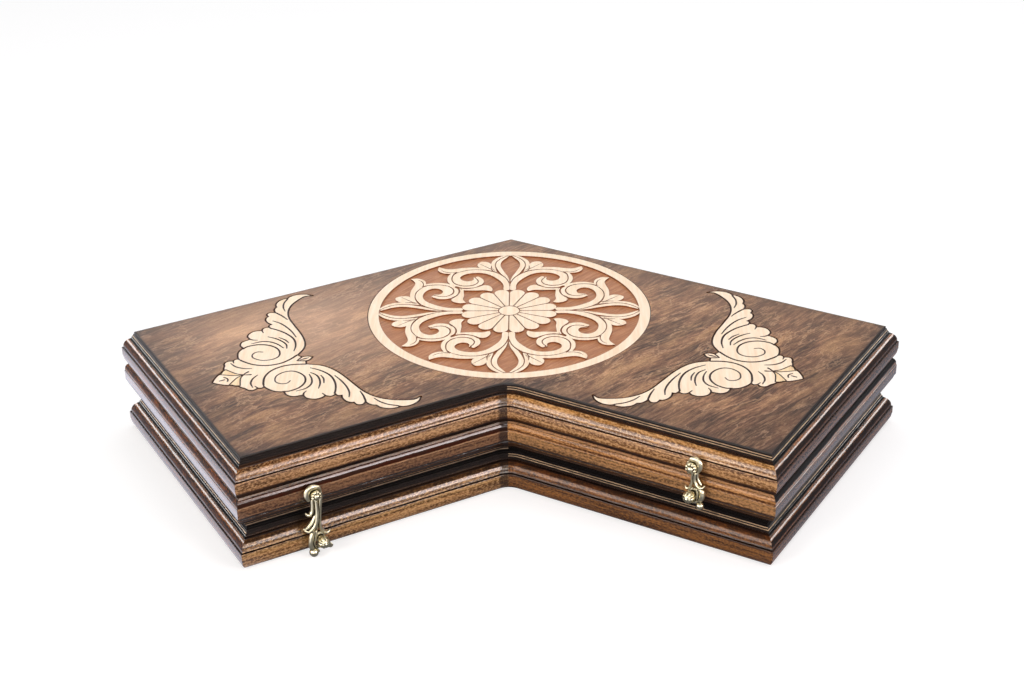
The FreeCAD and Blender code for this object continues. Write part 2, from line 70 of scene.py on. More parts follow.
def plan_corners(offset):
    """Corners of the case at an offset out from the panel's edge: notch, front, back, apex."""
    along = Vector((math.cos(ARM_ANGLE), -math.sin(ARM_ANGLE)))
    across = Vector((math.sin(ARM_ANGLE), math.cos(ARM_ANGLE)))
    front = along * NOTCH_EDGE
    back = front + across * ARM_WIDTH
    apex = Vector((0, ARM_WIDTH / math.cos(ARM_ANGLE)))
    lean = 1 / math.cos(ARM_ANGLE)
    notch = Vector((0, -offset * lean))
    front_out = front + (along - across) * offset
    back_out = back + (along + across) * offset
    apex_out = apex + Vector((0, offset * lean))
    return [notch, front_out, back_out, apex_out]


low_front = plan_corners(BAND_OFFSET)[1].y
high_apex = plan_corners(BAND_OFFSET)[3].y
PLAN_SHIFT = Vector((0, -(low_front + high_apex) / 2))

QUIRK_DEPTH = 12.3
QUIRK_SHIFT = {"bottom": 1.1, "middle": -0.8, "top": 0.75}


def arc_points(start, end, bulge, count):
    """Points between the ends of an arc that swells outwards by a bulge."""
    start, end = Vector(start), Vector(end)
    chord = end - start
    radius = chord.length ** 2 / (8 * bulge) + bulge / 2
    out = Vector((chord.y, -chord.x)).normalized()
    centre = (start + end) / 2 - out * (radius - bulge)
    half = math.asin(chord.length / 2 / radius)
    base = math.atan2(out.y, out.x)
    turns = [base - half + 2 * half * k / count for k in range(1, count)]
    return [(centre.x + radius * math.cos(turn), centre.y + radius * math.sin(turn)) for turn in turns]


def rail_profile(shift):
    """Points (offset out, depth from the tray's back) round the section, eased at the arrises.
    The quirk between the round and the band was run a little higher or lower on each tray."""
    low = QUIRK_DEPTH + shift
    points = [(RAIL_INNER, PANEL_THICK), (2.05, PANEL_THICK), (2.3, 5.25), (2.3, 5.9), (1.95, 6.2),
              (2.9, 6.5)]
    points += arc_points((2.9, 6.5), (7.7, low), 0.8, 13)
    points += [(7.7, low), (7.5, low + 0.15), (7.95, low + 1.25), (7.85, low + 1.5), (7.1, low + 1.95),
               (8.5, low + 2.3), (8.85, low + 2.4), (BAND_OFFSET, low + 2.65), (BAND_OFFSET, 22.3),
               (8.9, 22.42), (8.65, 22.75)]
    rim_offset, rim_depth, rim_wide, rim_tall = 4.2, 22.75, 4.45, 6.75
    for k in range(1, 12):
        angle = math.pi / 2 * k / 12
        points.append((rim_offset + rim_wide * math.cos(angle), rim_depth + rim_tall * math.sin(angle)))
        if k == 7:
            points += [(6.5, 28.2), (6.42, 28.5)]
    points += [(rim_offset, TRAY_HEIGHT), (RAIL_INNER, TRAY_HEIGHT)]
    return points


PROFILES = {tray: rail_profile(shift) for tray, shift in QUIRK_SHIFT.items()}


def girth(profile):
    """Distances along the section from its first point."""
    places = [0.0]
    for here, there in zip(profile, profile[1:]):
        places.append(places[-1] + math.dist(here, there))
    return places


def rail_line(side, offset):
    """Plan points of one moulding line with their distance along the rail."""
    corners = plan_corners(offset)
    start, end = corners[side], corners[side + 1]
    length = (end - start).length
    if side > 0:
        return [(start.lerp(end, t), length * t) for t in (0, 0.25, 0.5, 0.75, 1)]
    tangent = NOTCH_CORNER_R * math.tan(ARM_ANGLE)
    along = (end - start).normalized()
    centre = Vector((0, -NOTCH_CORNER_R / math.cos(ARM_ANGLE)))
    line = []
    for k in range(NOTCH_STEPS + 1):
        turn = ARM_ANGLE * k / NOTCH_STEPS
        if offset == RAIL_INNER:
            point = start + along * tangent * k / NOTCH_STEPS
        else:
            arm = NOTCH_CORNER_R - offset
            point = centre + Vector((math.sin(turn), math.cos(turn))) * arm
        line.append((point, tangent * k / NOTCH_STEPS))
    last = line[-1][0]
    for t in (0.3, 0.6, 1):
        line.append((last.lerp(end, t), tangent + (length - tangent) * t))
    return line


def shade_by_angle(mesh):
    """Smooth shading that keeps the arrises crisp."""
    mesh.shade_smooth()
    mesh.set_sharp_from_angle(angle=math.radians(32))


def mesh_from(name, shell):
    """Finished mesh of a working one."""
    mesh = bpy.data.meshes.new(name)
    shell.to_mesh(mesh)
    shell.free()
    return mesh


def object_of(name, data):
    """Object in the scene that shows a mesh, a lamp or a camera."""
    made = bpy.data.objects.new(name, data)
    bpy.context.scene.collection.objects.link(made)
    return made


def moulded_rail(name, tray, side, left, finish, grain_start):
    """One rail: the profile carried along its line, closed at both mitres."""
    back_z, sign = TRAYS[tray]
    profile = PROFILES[tray]
    along_section = girth(profile)
    lines = [rail_line(side, offset) for offset, depth in profile]
    stations, rows = len(lines[0]), len(profile)
    inner_wall = TRAY_HEIGHT - PANEL_THICK
    mesh_data = bmesh.new()
    uv_layer = mesh_data.loops.layers.uv.new("moulding")
    grid = []
    for j in range(stations):
        row = []
        for i in range(rows):
            point = lines[i][j][0] + PLAN_SHIFT
            x = -point.x if left else point.x
            z = back_z + sign * profile[i][1]
            row.append(mesh_data.verts.new((x / 1000, point.y / 1000, z / 1000)))
        grid.append(row)
    for j in range(stations - 1):
        for i in range(rows):
            n = (i + 1) % rows
            face = mesh_data.faces.new((grid[j][i], grid[j][n], grid[j + 1][n], grid[j + 1][i]))
            girths = [along_section[i], along_section[i + 1] if n else along_section[i] + inner_wall]
            for loop, (a, b) in zip(face.loops, ((j, 0), (j, 1), (j + 1, 1), (j + 1, 0))):
                along = lines[(i, n)[b]][a][1]
                loop[uv_layer].uv = ((grain_start + along) / 1000, girths[b] / 1000)
    for j in (0, stations - 1):
        face = mesh_data.faces.new(grid[j])
        for loop, depth_v in zip(face.loops, along_section):
            loop[uv_layer].uv = ((grain_start + depth_v) / 1000, depth_v / 1000)
    bmesh.ops.recalc_face_normals(mesh_data, faces=mesh_data.faces)
    mesh = mesh_from(name, mesh_data)
    shade_by_angle(mesh)
    mesh.materials.append(finish)
    return object_of(name, mesh)


def linear_colour(code, strength=1.0):
    """sRGB hex colour as the linear values that the shaders take; a fourth pair is the alpha."""
    channels = [int(code[i:i + 2], 16) / 255 for i in (1, 3, 5)]
    linear = [c / 12.92 if c <= 0.04045 else ((c + 0.055) / 1.055) ** 2.4 for c in channels]
    alpha = int(code[7:9], 16) / 255 if len(code) > 7 else 1.0
    return (*[c * strength for c in linear], alpha)


def add_node(tree, kind, inputs=None, stops=(), **settings):
    """Adds a node. Inputs are values, outputs of other nodes, or nodes, of which the first
    output in use is taken. Stops fill a colour ramp."""
    made = tree.nodes.new(kind)
    for key, value in settings.items():
        setattr(made, key, value)
    for key, value in (inputs or {}).items():
        if isinstance(value, bpy.types.Node):
            value = next(output for output in value.outputs if output.enabled)
        if isinstance(value, bpy.types.NodeSocket):
            tree.links.new(value, made.inputs[key])
        else:
            made.inputs[key].default_value = value
    for k, (place, colour) in enumerate(stops):
        element = made.color_ramp.elements[k] if k < 2 else made.color_ramp.elements.new(place)
        element.position = place
        element.color = linear_colour(colour)
    return made


def new_finish(name):
    """Empty material whose nodes are then added."""
    made = bpy.data.materials.new(name)
    made.use_nodes = True
    made.node_tree.nodes.clear()
    return made


ZONE_SPAN = 50.0
# Painted shade: near black for the shade in the quirks
QUIRK_SHADE_BLACK = "#0c0605"


def moulding_finish(name, zones, dark, gold, gloss, coat, corner=False, worn=0.09):
    """Lacquered beech: the streaks and the fine flecks run with the rail. The stain takes in
    blotches where a zone's alpha is low and is rubbed thin on the arrises. At a notch corner a
    strip beside the mitre is darkened as painted shade. Gloss lacquer over it."""
    made = new_finish(name)
    tree = made.node_tree
    uv = add_node(tree, "ShaderNodeUVMap", uv_map="moulding")
    across = add_node(tree, "ShaderNodeSeparateXYZ", {0: uv})
    noises = {}
    for key, scale, detail in (("streaks", (14, 420, 1), 6.0), ("blotches", (70, 190, 1), 5.0),
                               ("flecks", (430, 700, 1), 5.0), ("drift", (26, 1, 1), 3.0)):
        stretched = add_node(tree, "ShaderNodeMapping", {"Vector": uv, "Scale": scale})
        noises[key] = add_node(tree, "ShaderNodeTexNoise",
                               {"Vector": stretched, "Scale": 1.0, "Detail": detail, "Roughness": 0.6})
    wander = add_node(tree, "ShaderNodeMapRange",
                      {0: noises["drift"], 1: 0.3, 2: 0.7, 3: -0.0004, 4: 0.0004})
    line = add_node(tree, "ShaderNodeMath", {0: across.outputs["Y"], 1: wander}, operation="ADD")
    share = add_node(tree, "ShaderNodeMapRange", {0: line, 2: ZONE_SPAN / 1000})
    zone = add_node(tree, "ShaderNodeValToRGB", {0: share}, stops=zones)
    patchy = add_node(tree, "ShaderNodeMapRange", {0: noises["blotches"], 1: 0.44, 2: 0.56})
    uneven = add_node(tree, "ShaderNodeMath", {0: 1.0, 1: zone.outputs["Alpha"]}, operation="SUBTRACT")
    blotched = add_node(tree, "ShaderNodeMath", {0: patchy, 1: uneven}, operation="MULTIPLY")
    thin = add_node(tree, "ShaderNodeMapRange", {0: zone, 1: worn / 8, 2: worn, 4: 0.65})
    streaked = add_node(tree, "ShaderNodeMapRange", {0: noises["streaks"], 1: 0.49, 2: 0.59, 4: thin})
    shaded = add_node(tree, "ShaderNodeMapRange", {0: noises["streaks"], 1: 0.51, 2: 0.4, 4: 0.7})
    flecked = add_node(tree, "ShaderNodeMapRange", {0: noises["flecks"], 1: 0.46, 2: 0.66, 4: 0.6})
    pale_flecks = add_node(tree, "ShaderNodeMapRange", {0: noises["flecks"], 1: 0.51, 2: 0.4, 4: thin})
    amounts = [(streaked, gold), (shaded, dark), (blotched, dark), (flecked, dark), (pale_flecks, gold)]
    if corner:
        # Painted shade: a dark strip on the rail just beside the notch mitre
        spot = add_node(tree, "ShaderNodeTexCoord")
        side = add_node(tree, "ShaderNodeSeparateXYZ", {0: spot.outputs["Object"]})
        entry = add_node(tree, "ShaderNodeMapRange", {0: side.outputs["X"], 1: -0.0075, 2: -0.0055})
        leave = add_node(tree, "ShaderNodeMapRange",
                         {0: side.outputs["X"], 1: 0.0012, 2: -0.0004, 4: 0.75})
        painted_corner_shade = add_node(tree, "ShaderNodeMath", {0: entry, 1: leave}, operation="MULTIPLY")
        amounts.append((painted_corner_shade, "#1c100a"))
    colour = zone
    for amount, tint in amounts:
        colour = add_node(tree, "ShaderNodeMix", {0: amount, 6: colour, 7: linear_colour(tint)},
                          data_type="RGBA")
    relief = add_node(tree, "ShaderNodeBump",
                      {"Strength": 0.25, "Distance": 0.0001, "Height": noises["flecks"]})
    waves = add_node(tree, "ShaderNodeBump",
                     {"Strength": 0.3, "Distance": 0.0004, "Height": noises["blotches"]})
    open_wood = add_node(tree, "ShaderNodeMapRange", {0: zone, 1: 0.0028, 2: 0.0042})
    pooled_on = add_node(tree, "ShaderNodeMapRange", {0: zone.outputs["Alpha"], 1: 0.2, 2: 0.45, 4: coat})
    lacquer = add_node(tree, "ShaderNodeMath", {0: open_wood, 1: pooled_on}, operation="MULTIPLY")
    wood = add_node(tree, "ShaderNodeBsdfPrincipled",
                    {"Base Color": colour, "Roughness": 0.4, "IOR": 1.5, "Normal": relief,
                     "Specular IOR Level": 0.08, "Coat Weight": lacquer,
                     "Coat Roughness": gloss, "Coat Normal": waves})
    add_node(tree, "ShaderNodeOutputMaterial", {0: wood})
    return made


def rail_zones(tray, colours, low_quirk_shade=QUIRK_SHADE_BLACK):
    """Colour stops over the first part of the section, from the ledge to the rim."""
    ledge, round_top, round_mid, fillet, band, band_low, arris, lip, brow, cheek, ovolo, bead = colours
    profile, low = PROFILES[tray], QUIRK_DEPTH + QUIRK_SHIFT[tray]
    places = girth(profile)

    def at(offset, depth):
        """Share of the span at which the section passes a point."""
        gaps = [math.dist(point, (offset, depth)) for point in profile]
        return places[gaps.index(min(gaps))] / ZONE_SPAN

    under_ledge, above_round = at(2.3, 5.9), at(2.9, 6.5)
    round_end, fillet_from, fillet_to = at(7.7, low), at(7.5, low + 0.15), at(7.95, low + 1.25)
    band_from, band_to = at(BAND_OFFSET, low + 2.65), at(BAND_OFFSET, 22.3)
    arris_end, brow_end = at(8.65, 22.75), at(8.5, 24.5)
    bead_from, bead_to = at(6.5, 28.2), at(4.2, TRAY_HEIGHT)
    # Painted shade: the quirk stops, and the small step above the fillet, are dark for the shade in the
    # grooves
    return [(under_ledge - 0.008, ledge), (under_ledge, QUIRK_SHADE_BLACK), (above_round + 0.012, QUIRK_SHADE_BLACK),
            (above_round + 0.026, round_top), (above_round + 0.075, round_top),
            (round_end - 0.085, round_mid), (round_end - 0.005, round_mid),
            (fillet_from, "#5a3a24"), (fillet_from + 0.006, fillet), (fillet_to, fillet),
            (at(7.85, low + 1.5), low_quirk_shade), (at(8.5, low + 2.3) - 0.003, low_quirk_shade),
            (at(8.85, low + 2.4), fillet), (band_from + 0.012, fillet), (band_from + 0.02, band),
            (band_to - 0.03, band_low), (band_to - 0.004, band_low), (at(8.9, 22.42), arris),
            (arris_end, arris), (arris_end + 0.012, lip), (brow_end - 0.006, brow),
            (brow_end + 0.02, cheek), (at(7.9, 26.4), cheek), (at(7.5, 27.0), ovolo),
            (bead_from - 0.006, ovolo), (bead_from, QUIRK_SHADE_BLACK), (at(6.42, 28.5) + 0.006, bead),
            (bead_to, bead), (bead_to + 0.03, "#2a1a12")]


# The photographed rails: tone, dark and golden streaks, gloss and weight of the lacquer, and the
# colours of the zones from the ledge to the bead
# Painted shade and highlight in the zones: the top tray's rim is near black where it turns down over the
# joint, the bottom tray's rim darkens towards the table, the middle tray's round and fillet, which face
# down, are near black, as is its ledge on the right arm, and the middle tray's bead on the left arm is
# painted light as a highlight.
NOTCH_RAIL_LOOKS = {
    ("top", "left"): ("golden", "#3a2210", "#c09468", 0.2, 0.8,
                      ["#241a15", "#6a3c1000", "#8e60387f", "#8a6244", "#8e6844", "#8c643e",
                       "#8e623a", "#7a502c", "#4a2c14", "#080403", "#080403", "#080403"]),
    ("top", "right"): ("honey", "#4a2c14", "#cc9e6c", 0.18, 0.5,
                       ["#1c120d", "#b8803e7f", "#8e60387f", "#7c5434", "#946a48", "#8e6440",
                        "#a8784a", "#94643a", "#6a4018", "#241008", "#080403", "#080403"]),
    ("middle", "left"): ("umber", "#2c180e", "#8a6242", 0.08, 0.9,
                         ["#74604e", "#1c110b", "#160e0a", "#2a1c14", "#725038", "#6e4e36",
                          "#b08a68", "#3c100018", "#36100018", "#36100018", "#42200aff", "#d8c8bc"]),
    ("middle", "right"): ("amber", "#3c2210", "#b88450", 0.25, 0.25,
                          ["#0e0806", "#30231b", "#281b13", "#2e2018", "#94704e", "#94704e",
                           "#b48a68", "#6a3c18", "#3c1c08", "#a0662a", "#b47a40", "#d2a07a"]),
    ("bottom", "left"): ("mottled", "#281608", "#c09664", 0.16, 0.9,
                         ["#2e2420", "#42240800", "#7a54387f", "#84603e", "#96703f", "#a07044",
                          "#a07248", "#96693e", "#8e643a", "#7a5230", "#6a4424", "#4a2c16"]),
    ("bottom", "right"): ("russet", "#2a160a", "#94602e", 0.2, 0.4,
                          ["#1c120d", "#4a240a00", "#6e44285f", "#3e2618", "#64442c", "#6a4a32",
                           "#6c4a30", "#684630", "#64442c", "#5c3c26", "#50341f", "#3a2414"]),
}
finishes = {}
for (tray, hand), (tone, dark, gold, gloss, coat, colours) in NOTCH_RAIL_LOOKS.items():
    finishes[0, tray, hand] = moulding_finish(f"lacquered_beech_{tone}", rail_zones(tray, colours),
                                              dark, gold, gloss, coat, corner=hand == "left")
# Painted shade: the end rails are darker copies of the same beech, as the ends turn away from the lamps. On
# the middle tray's right end the arris and the brow are painted light as highlights and the rest of its rim
# near black as painted shade.
for tray in TRAYS:
    for hand, band, under in (("left", "#3c302c", "#34180a18"), ("right", "#30261f", "#1c0e0718")):
        arris, lip, brow, cheek, ovolo, bead = "#7a5a40", band, band, "#5a2c1218", "#5a2c1218", "#6a5a50"
        if tray == "middle" and hand == "left":
            lip, brow, cheek, ovolo = "#0e0907", "#8a623818", "#42180618", "#4a1e0a18"
        elif tray == "middle":
            arris, brow = "#c0b4a8", "#c0b4a8"
            lip, cheek, ovolo, bead = "#0e0907", "#0e0907", "#0e0907", "#0e0907"
        colours = ["#120d0a", "#7a4c247f", under, "#2a1a12", band, band,
                   arris, lip, brow, cheek, ovolo, bead]
        finishes[1, tray, hand] = moulding_finish(f"lacquered_beech_dark_{tray}_{hand}",
                                                  rail_zones(tray, colours, low_quirk_shade="#1e1410"),
                                                  "#080505", "#8e5420", 0.06, 1.0, worn=0.03)
    colours = ["#241a14", "#5e3e2050", "#6e4a287f", "#5c4026", "#76543a", "#6e4c32",
               "#8a6440", "#5c3c22", "#4c2e16", "#4c2e16", "#4c2e16", "#3a2214"]
    walnut = moulding_finish(f"lacquered_beech_walnut_stain_{tray}", rail_zones(tray, colours), "#22140c",
                             "#8a6030", 0.16, 0.8)
    finishes[2, tray, "left"] = finishes[2, tray, "right"] = walnut

rails = {}
grain_start = 0.0
for tray in TRAYS:
    for side, side_name in enumerate(RAIL_NAMES):
        for hand in ("right", "left"):
            node = f"{tray}_{side_name}_{hand}"
            rails[node] = moulded_rail(f"{node}_moulding", tray, side, hand == "left",
                                       finishes[side, tray, hand], grain_start)
            grain_start += 733.0


# Mortises for the lid hinges: shallow beds as deep as a leaf and a round hollow for the knuckle,
# chopped into the rims of the right-hand back rails, where the middle and the top tray meet.
HINGE_FROM_END = 80.0
LEAF_LENGTH = 50.2
LEAF_BED = 2.4
RIM_LEAF_INNER = 5.1
KNUCKLE_LINE = 9.15
KNUCKLE_R = 2.6
KNUCKLE_LENGTH = 50.6


def hinge_places(side):
    """Middles of the two hinges on one side of the case, with the ways along it and inwards."""
    corners = plan_corners(0) + [corner * Vector((-1, 1)) for corner in plan_corners(0)[2:0:-1]]
    start, end = corners[side], corners[side + 1]
    along = (end - start).normalized()
    places = (HINGE_FROM_END, (end - start).length - HINGE_FROM_END)
    return [start + along * s + PLAN_SHIFT for s in places], along, Vector((-along.y, along.x))


def placed(point, height, along):
    """Matrix that carries a shape to a plan point and height, turned along the case's side."""
    turn = Matrix.Rotation(math.atan2(along.y, along.x), 4, "Z")
    return Matrix.Translation((point.x / 1000, point.y / 1000, height / 1000)) @ turn


def add_leaf_bed(cutter_mesh, place, width):
    """Block to chop out where a leaf of a width lies in, half of it above the wood."""
    size = Matrix.Diagonal((LEAF_LENGTH / 1000, width / 1000, LEAF_BED / 1000, 1))
    bmesh.ops.create_cube(cutter_mesh, size=1.0, matrix=place @ size)


def chopped_out(piece, cutter_mesh):
    """Cuts the shapes of a working mesh out of a piece."""
    cutter = object_of("cutter", mesh_from("cutter", cutter_mesh))
    cut = piece.modifiers.new("cut", "BOOLEAN")
    cut.object = cutter
    cut.solver = "EXACT"
    cut.use_self = True
    bpy.context.view_layer.update()
    done = bpy.data.meshes.new_from_object(piece.evaluated_get(bpy.context.evaluated_depsgraph_get()))
    piece.modifiers.clear()
    piece.data = done
    bpy.data.objects.remove(cutter)


hinges, along, inward = hinge_places(RAIL_NAMES.index("back_rail"))
for tray in ("middle", "top"):
    back_z, sign = TRAYS[tray]
    rim_z = back_z + sign * TRAY_HEIGHT
    piece = rails[f"{tray}_back_rail_right"]
    cutter_mesh = bmesh.new()
    for middle_at in hinges:
        bed_at = middle_at + inward * (RIM_LEAF_INNER - KNUCKLE_LINE) / 2
        add_leaf_bed(cutter_mesh, placed(bed_at, rim_z, along), RIM_LEAF_INNER + KNUCKLE_LINE)
        lie = placed(middle_at - inward * KNUCKLE_LINE, rim_z, along)
        lie = lie @ Matrix.Rotation(math.pi / 2, 4, "Y")
        bmesh.ops.create_cone(cutter_mesh, cap_ends=True, segments=32, radius1=KNUCKLE_R / 1000,
                              radius2=KNUCKLE_R / 1000, depth=KNUCKLE_LENGTH / 1000, matrix=lie)
    chopped_out(piece, cutter_mesh)
    shade_by_angle(piece.data)

for node, piece in rails.items():
    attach(piece, node.split("_")[0] + "_tray")
    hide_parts(node)


# Carving outlines: every carved or burnt shape on the lid is drawn as strokes whose half-width
# changes along them, or as outlines with sharp tips. They are laid down in one field of
# distances, and the cutter's path is where that field crosses zero.
FIELD_STEP = 0.25
FIELD_REACH = 6.0


def smooth_line(points, steps=5):
    """Smooth line through points; further numbers of a point, such as a width, go along."""
    p = np.array(points, float)
    if len(p) < 3:
        t = np.linspace(0, 1, steps + 1)[:, None]
        return p[0] * (1 - t) + p[-1] * t
    ends = np.vstack([2 * p[0] - p[1], p, 2 * p[-1] - p[-2]])
    t = np.arange(steps)[:, None] / steps
    out = []
    for a, b, c, d in zip(ends, ends[1:], ends[2:], ends[3:]):
        out.append(0.5 * (2 * b + (c - a) * t + (2 * a - 5 * b + 4 * c - d) * t ** 2
                          + (3 * b - a - 3 * c + d) * t ** 3))
    return np.vstack(out + [p[-1:]])


class Field:
    """Signed distances in millimetres on a grid, negative inside the shapes laid down."""

    def __init__(self, x0, x1, y0, y1):
        self.x0, self.y0 = x0, y0
        self.xs = np.arange(x0, x1 + FIELD_STEP / 2, FIELD_STEP)
        self.ys = np.arange(y0, y1 + FIELD_STEP / 2, FIELD_STEP)
        self.d = np.full((len(self.xs), len(self.ys)), FIELD_REACH)

    def window(self, low, high, reach):
        """Index ranges of the grid round a box, widened by a reach."""
        i0, j0 = (max(0, int((low[k] - reach - (self.x0, self.y0)[k]) / FIELD_STEP)) for k in (0, 1))
        i1, j1 = (int((high[k] + reach - (self.x0, self.y0)[k]) / FIELD_STEP) + 2 for k in (0, 1))
        return slice(i0, i1), slice(j0, j1)

    def stroke(self, points, steps=5):
        """A stroke through (x, y, half-width) points."""
        line = smooth_line(points, steps)
        for a, b in zip(line, line[1:]):
            if math.dist(a[:2], b[:2]) < 1e-6:
                continue
            win = self.window(np.minimum(a, b), np.maximum(a, b), FIELD_REACH + max(a[2], b[2]))
            x, y = self.xs[win[0], None], self.ys[None, win[1]]
            if x.size == 0 or y.size == 0:
                continue
            ex, ey = b[0] - a[0], b[1] - a[1]
            t = np.clip(((x - a[0]) * ex + (y - a[1]) * ey) / (ex * ex + ey * ey), 0, 1)
            gap = np.hypot(x - a[0] - t * ex, y - a[1] - t * ey) - (a[2] + t * (b[2] - a[2]))
            self.d[win] = np.minimum(self.d[win], gap)

    def outline(self, arcs, steps=5):
        """A filled outline of smooth arcs that meet in sharp corners."""
        line = np.vstack([smooth_line(arc, steps)[:-1] for arc in arcs])
        win = self.window(line.min(0), line.max(0), FIELD_REACH)
        x, y = self.xs[win[0], None], self.ys[None, win[1]]
        gap = np.full((x.shape[0], y.shape[1]), FIELD_REACH)
        inside = np.zeros(gap.shape, bool)
        for a, b in zip(line, np.roll(line, -1, 0)):
            ex, ey = b - a
            if ex == 0 and ey == 0:
                continue
            t = np.clip(((x - a[0]) * ex + (y - a[1]) * ey) / (ex * ex + ey * ey), 0, 1)
            gap = np.minimum(gap, np.hypot(x - a[0] - t * ex, y - a[1] - t * ey))
            if ey != 0:
                crosses = (a[1] > y) != (b[1] > y)
                inside ^= crosses & (x < a[0] + (y - a[1]) * ex / ey)
        self.d[win] = np.minimum(self.d[win], np.where(inside, -gap, gap))


def cutter_paths(field, x0, y0, level=0.0):
    """Closed loops in millimetres along which a field crosses a level."""
    d = np.pad(field - level, 1, constant_values=FIELD_REACH)
    x0, y0 = x0 - FIELD_STEP, y0 - FIELD_STEP
    d = np.where(d == 0, 1e-6, d)
    inside = d < 0
    code = (inside[:-1, :-1] * 1 + inside[1:, :-1] * 2 + inside[1:, 1:] * 4 + inside[:-1, 1:] * 8)
    links = {1: ((3, 0),), 2: ((0, 1),), 3: ((3, 1),), 4: ((1, 2),), 5: ((3, 0), (1, 2)), 6: ((0, 2),),
             7: ((3, 2),), 8: ((2, 3),), 9: ((2, 0),), 10: ((0, 1), (2, 3)), 11: ((2, 1),), 12: ((1, 3),),
             13: ((1, 0),), 14: ((0, 3),)}
    following = {}
    for i, j in zip(*np.nonzero((code > 0) & (code < 15))):
        edges = ((i, j, 0), (i + 1, j, 1), (i, j + 1, 0), (i, j, 1))
        for a, b in links[int(code[i, j])]:
            following[edges[a]] = edges[b]
    loops = []
    while following:
        first, here = following.popitem()
        keys = [first]
        while here != first:
            keys.append(here)
            here = following.pop(here)
        i, j, way = np.array(keys).T
        a = d[i, j]
        b = d[i + (way == 0), j + (way == 1)]
        t = a / (a - b)
        loops.append(np.stack([x0 + (i + (way == 0) * t) * FIELD_STEP,
                               y0 + (j + (way == 1) * t) * FIELD_STEP], 1))
    return [thinned(loop) for loop in loops if len(loop) > 8]


def thinned(loop, slack=0.02):
    """Leaves out the points of a loop that lie within a slack of the line without them."""
    keep = np.zeros(len(loop), bool)
    far = int(np.argmax(((loop - loop[0]) ** 2).sum(1)))
    closed = np.vstack([loop, loop[:1]])
    spans = [(0, far), (far, len(loop))]
    keep[[0, far]] = True
    while spans:
        a, b = spans.pop()
        if b - a < 2:
            continue
        chord = closed[b] - closed[a]
        length = max(math.hypot(*chord), 1e-9)
        rel = closed[a + 1:b] - closed[a]
        gap = np.abs(rel[:, 0] * chord[1] - rel[:, 1] * chord[0]) / length
        k = int(np.argmax(gap))
        if gap[k] > slack:
            middle = a + 1 + k
            keep[middle] = True
            spans += [(a, middle), (middle, b)]
    return loop[keep]


def contains(loop, point):
    """Whether a closed loop goes round a point."""
    a, b = loop, np.roll(loop, -1, 0)
    crosses = (a[:, 1] > point[1]) != (b[:, 1] > point[1])
    rise = np.where(crosses, b[:, 1] - a[:, 1], 1.0)
    x_there = a[:, 0] + (point[1] - a[:, 1]) * (b[:, 0] - a[:, 0]) / rise
    return bool((crosses & (point[0] < x_there)).sum() % 2)


def faced_out(mesh, weld=0.0):
    """Turns the faces of a closed mesh outward, once points that lie together are welded."""
    shell = bmesh.new()
    shell.from_mesh(mesh)
    if weld:
        bmesh.ops.remove_doubles(shell, verts=shell.verts, dist=weld)
    bmesh.ops.recalc_face_normals(shell, faces=shell.faces)
    shell.to_mesh(mesh)
    shell.free()


def cut_plate(name, loops, low, high, face_finish, wall_finish=None):
    """Plate between two heights whose outline and holes are given as loops, in millimetres."""
    loops = [loop for loop in loops if len(loop) > 2]
    around = [[k for k, other in enumerate(loops) if k != n and contains(other, loop[0])]
              for n, loop in enumerate(loops)]
    starts = np.cumsum([0] + [len(loop) for loop in loops])
    triangles = []
    for n, outer in enumerate(around):
        if len(outer) % 2 == 0:
            depth = len(outer) + 1
            group = [n] + [k for k, rings in enumerate(around) if n in rings and len(rings) == depth]
            numbers = np.concatenate([np.arange(starts[k], starts[k + 1]) for k in group])
            found = tessellate_polygon([[Vector((x, y, 0)) for x, y in loops[k]] for k in group])
            triangles += [tuple(int(numbers[v]) for v in triangle) for triangle in found]
    flat = np.vstack(loops)
    count = len(flat)
    points = np.vstack([np.column_stack([flat, np.full(count, z)]) for z in (high, low)]) / 1000
    faces = []
    for a, b, c in triangles:
        faces.append((a, b, c))
        faces.append((a + count, c + count, b + count))
    walls = len(faces)
    start = 0
    for loop in loops:
        n = len(loop)
        for k in range(n):
            a, b = start + k, start + (k + 1) % n
            faces.append((a, b, b + count, a + count))
        start += n
    mesh = bpy.data.meshes.new(name)
    mesh.from_pydata([tuple(p) for p in points], [], faces)
    mesh.materials.append(face_finish)
    if wall_finish:
        mesh.materials.append(wall_finish)
        for face in mesh.polygons:
            face.material_index = int(face.index >= walls)
    faced_out(mesh)
    return object_of(name, mesh)


def joined(name, pieces):
    """Several plates of one piece of wood as one object."""
    whole = bmesh.new()
    finishes = []
    for piece in pieces:
        lift = []
        for finish in piece.data.materials:
            if finish not in finishes:
                finishes.append(finish)
            lift.append(finishes.index(finish))
        first = len(whole.faces)
        whole.from_mesh(piece.data)
        whole.faces.ensure_lookup_table()
        for face in whole.faces[first:]:
            face.material_index = lift[face.material_index]
        bpy.data.objects.remove(piece)
    mesh = mesh_from(name, whole)
    for finish in finishes:
        mesh.materials.append(finish)
    return object_of(name, mesh)


# Carved medallion: pale birch ply left standing between the cuts, level with the lid, in a
# round ground cut 1.2 mm deep. The cutter scorches the walls orange brown, and the narrow
# grooves between the leaves come out dark.
LID_Z = 3 * TRAY_HEIGHT
CUT_DEPTH = 1.2
LET_IN = 0.05
MEDALLION_Y = 120.0
MEDALLION_HALF = 108
RING_OUTER = 114.5
RING_INNER = 106.0


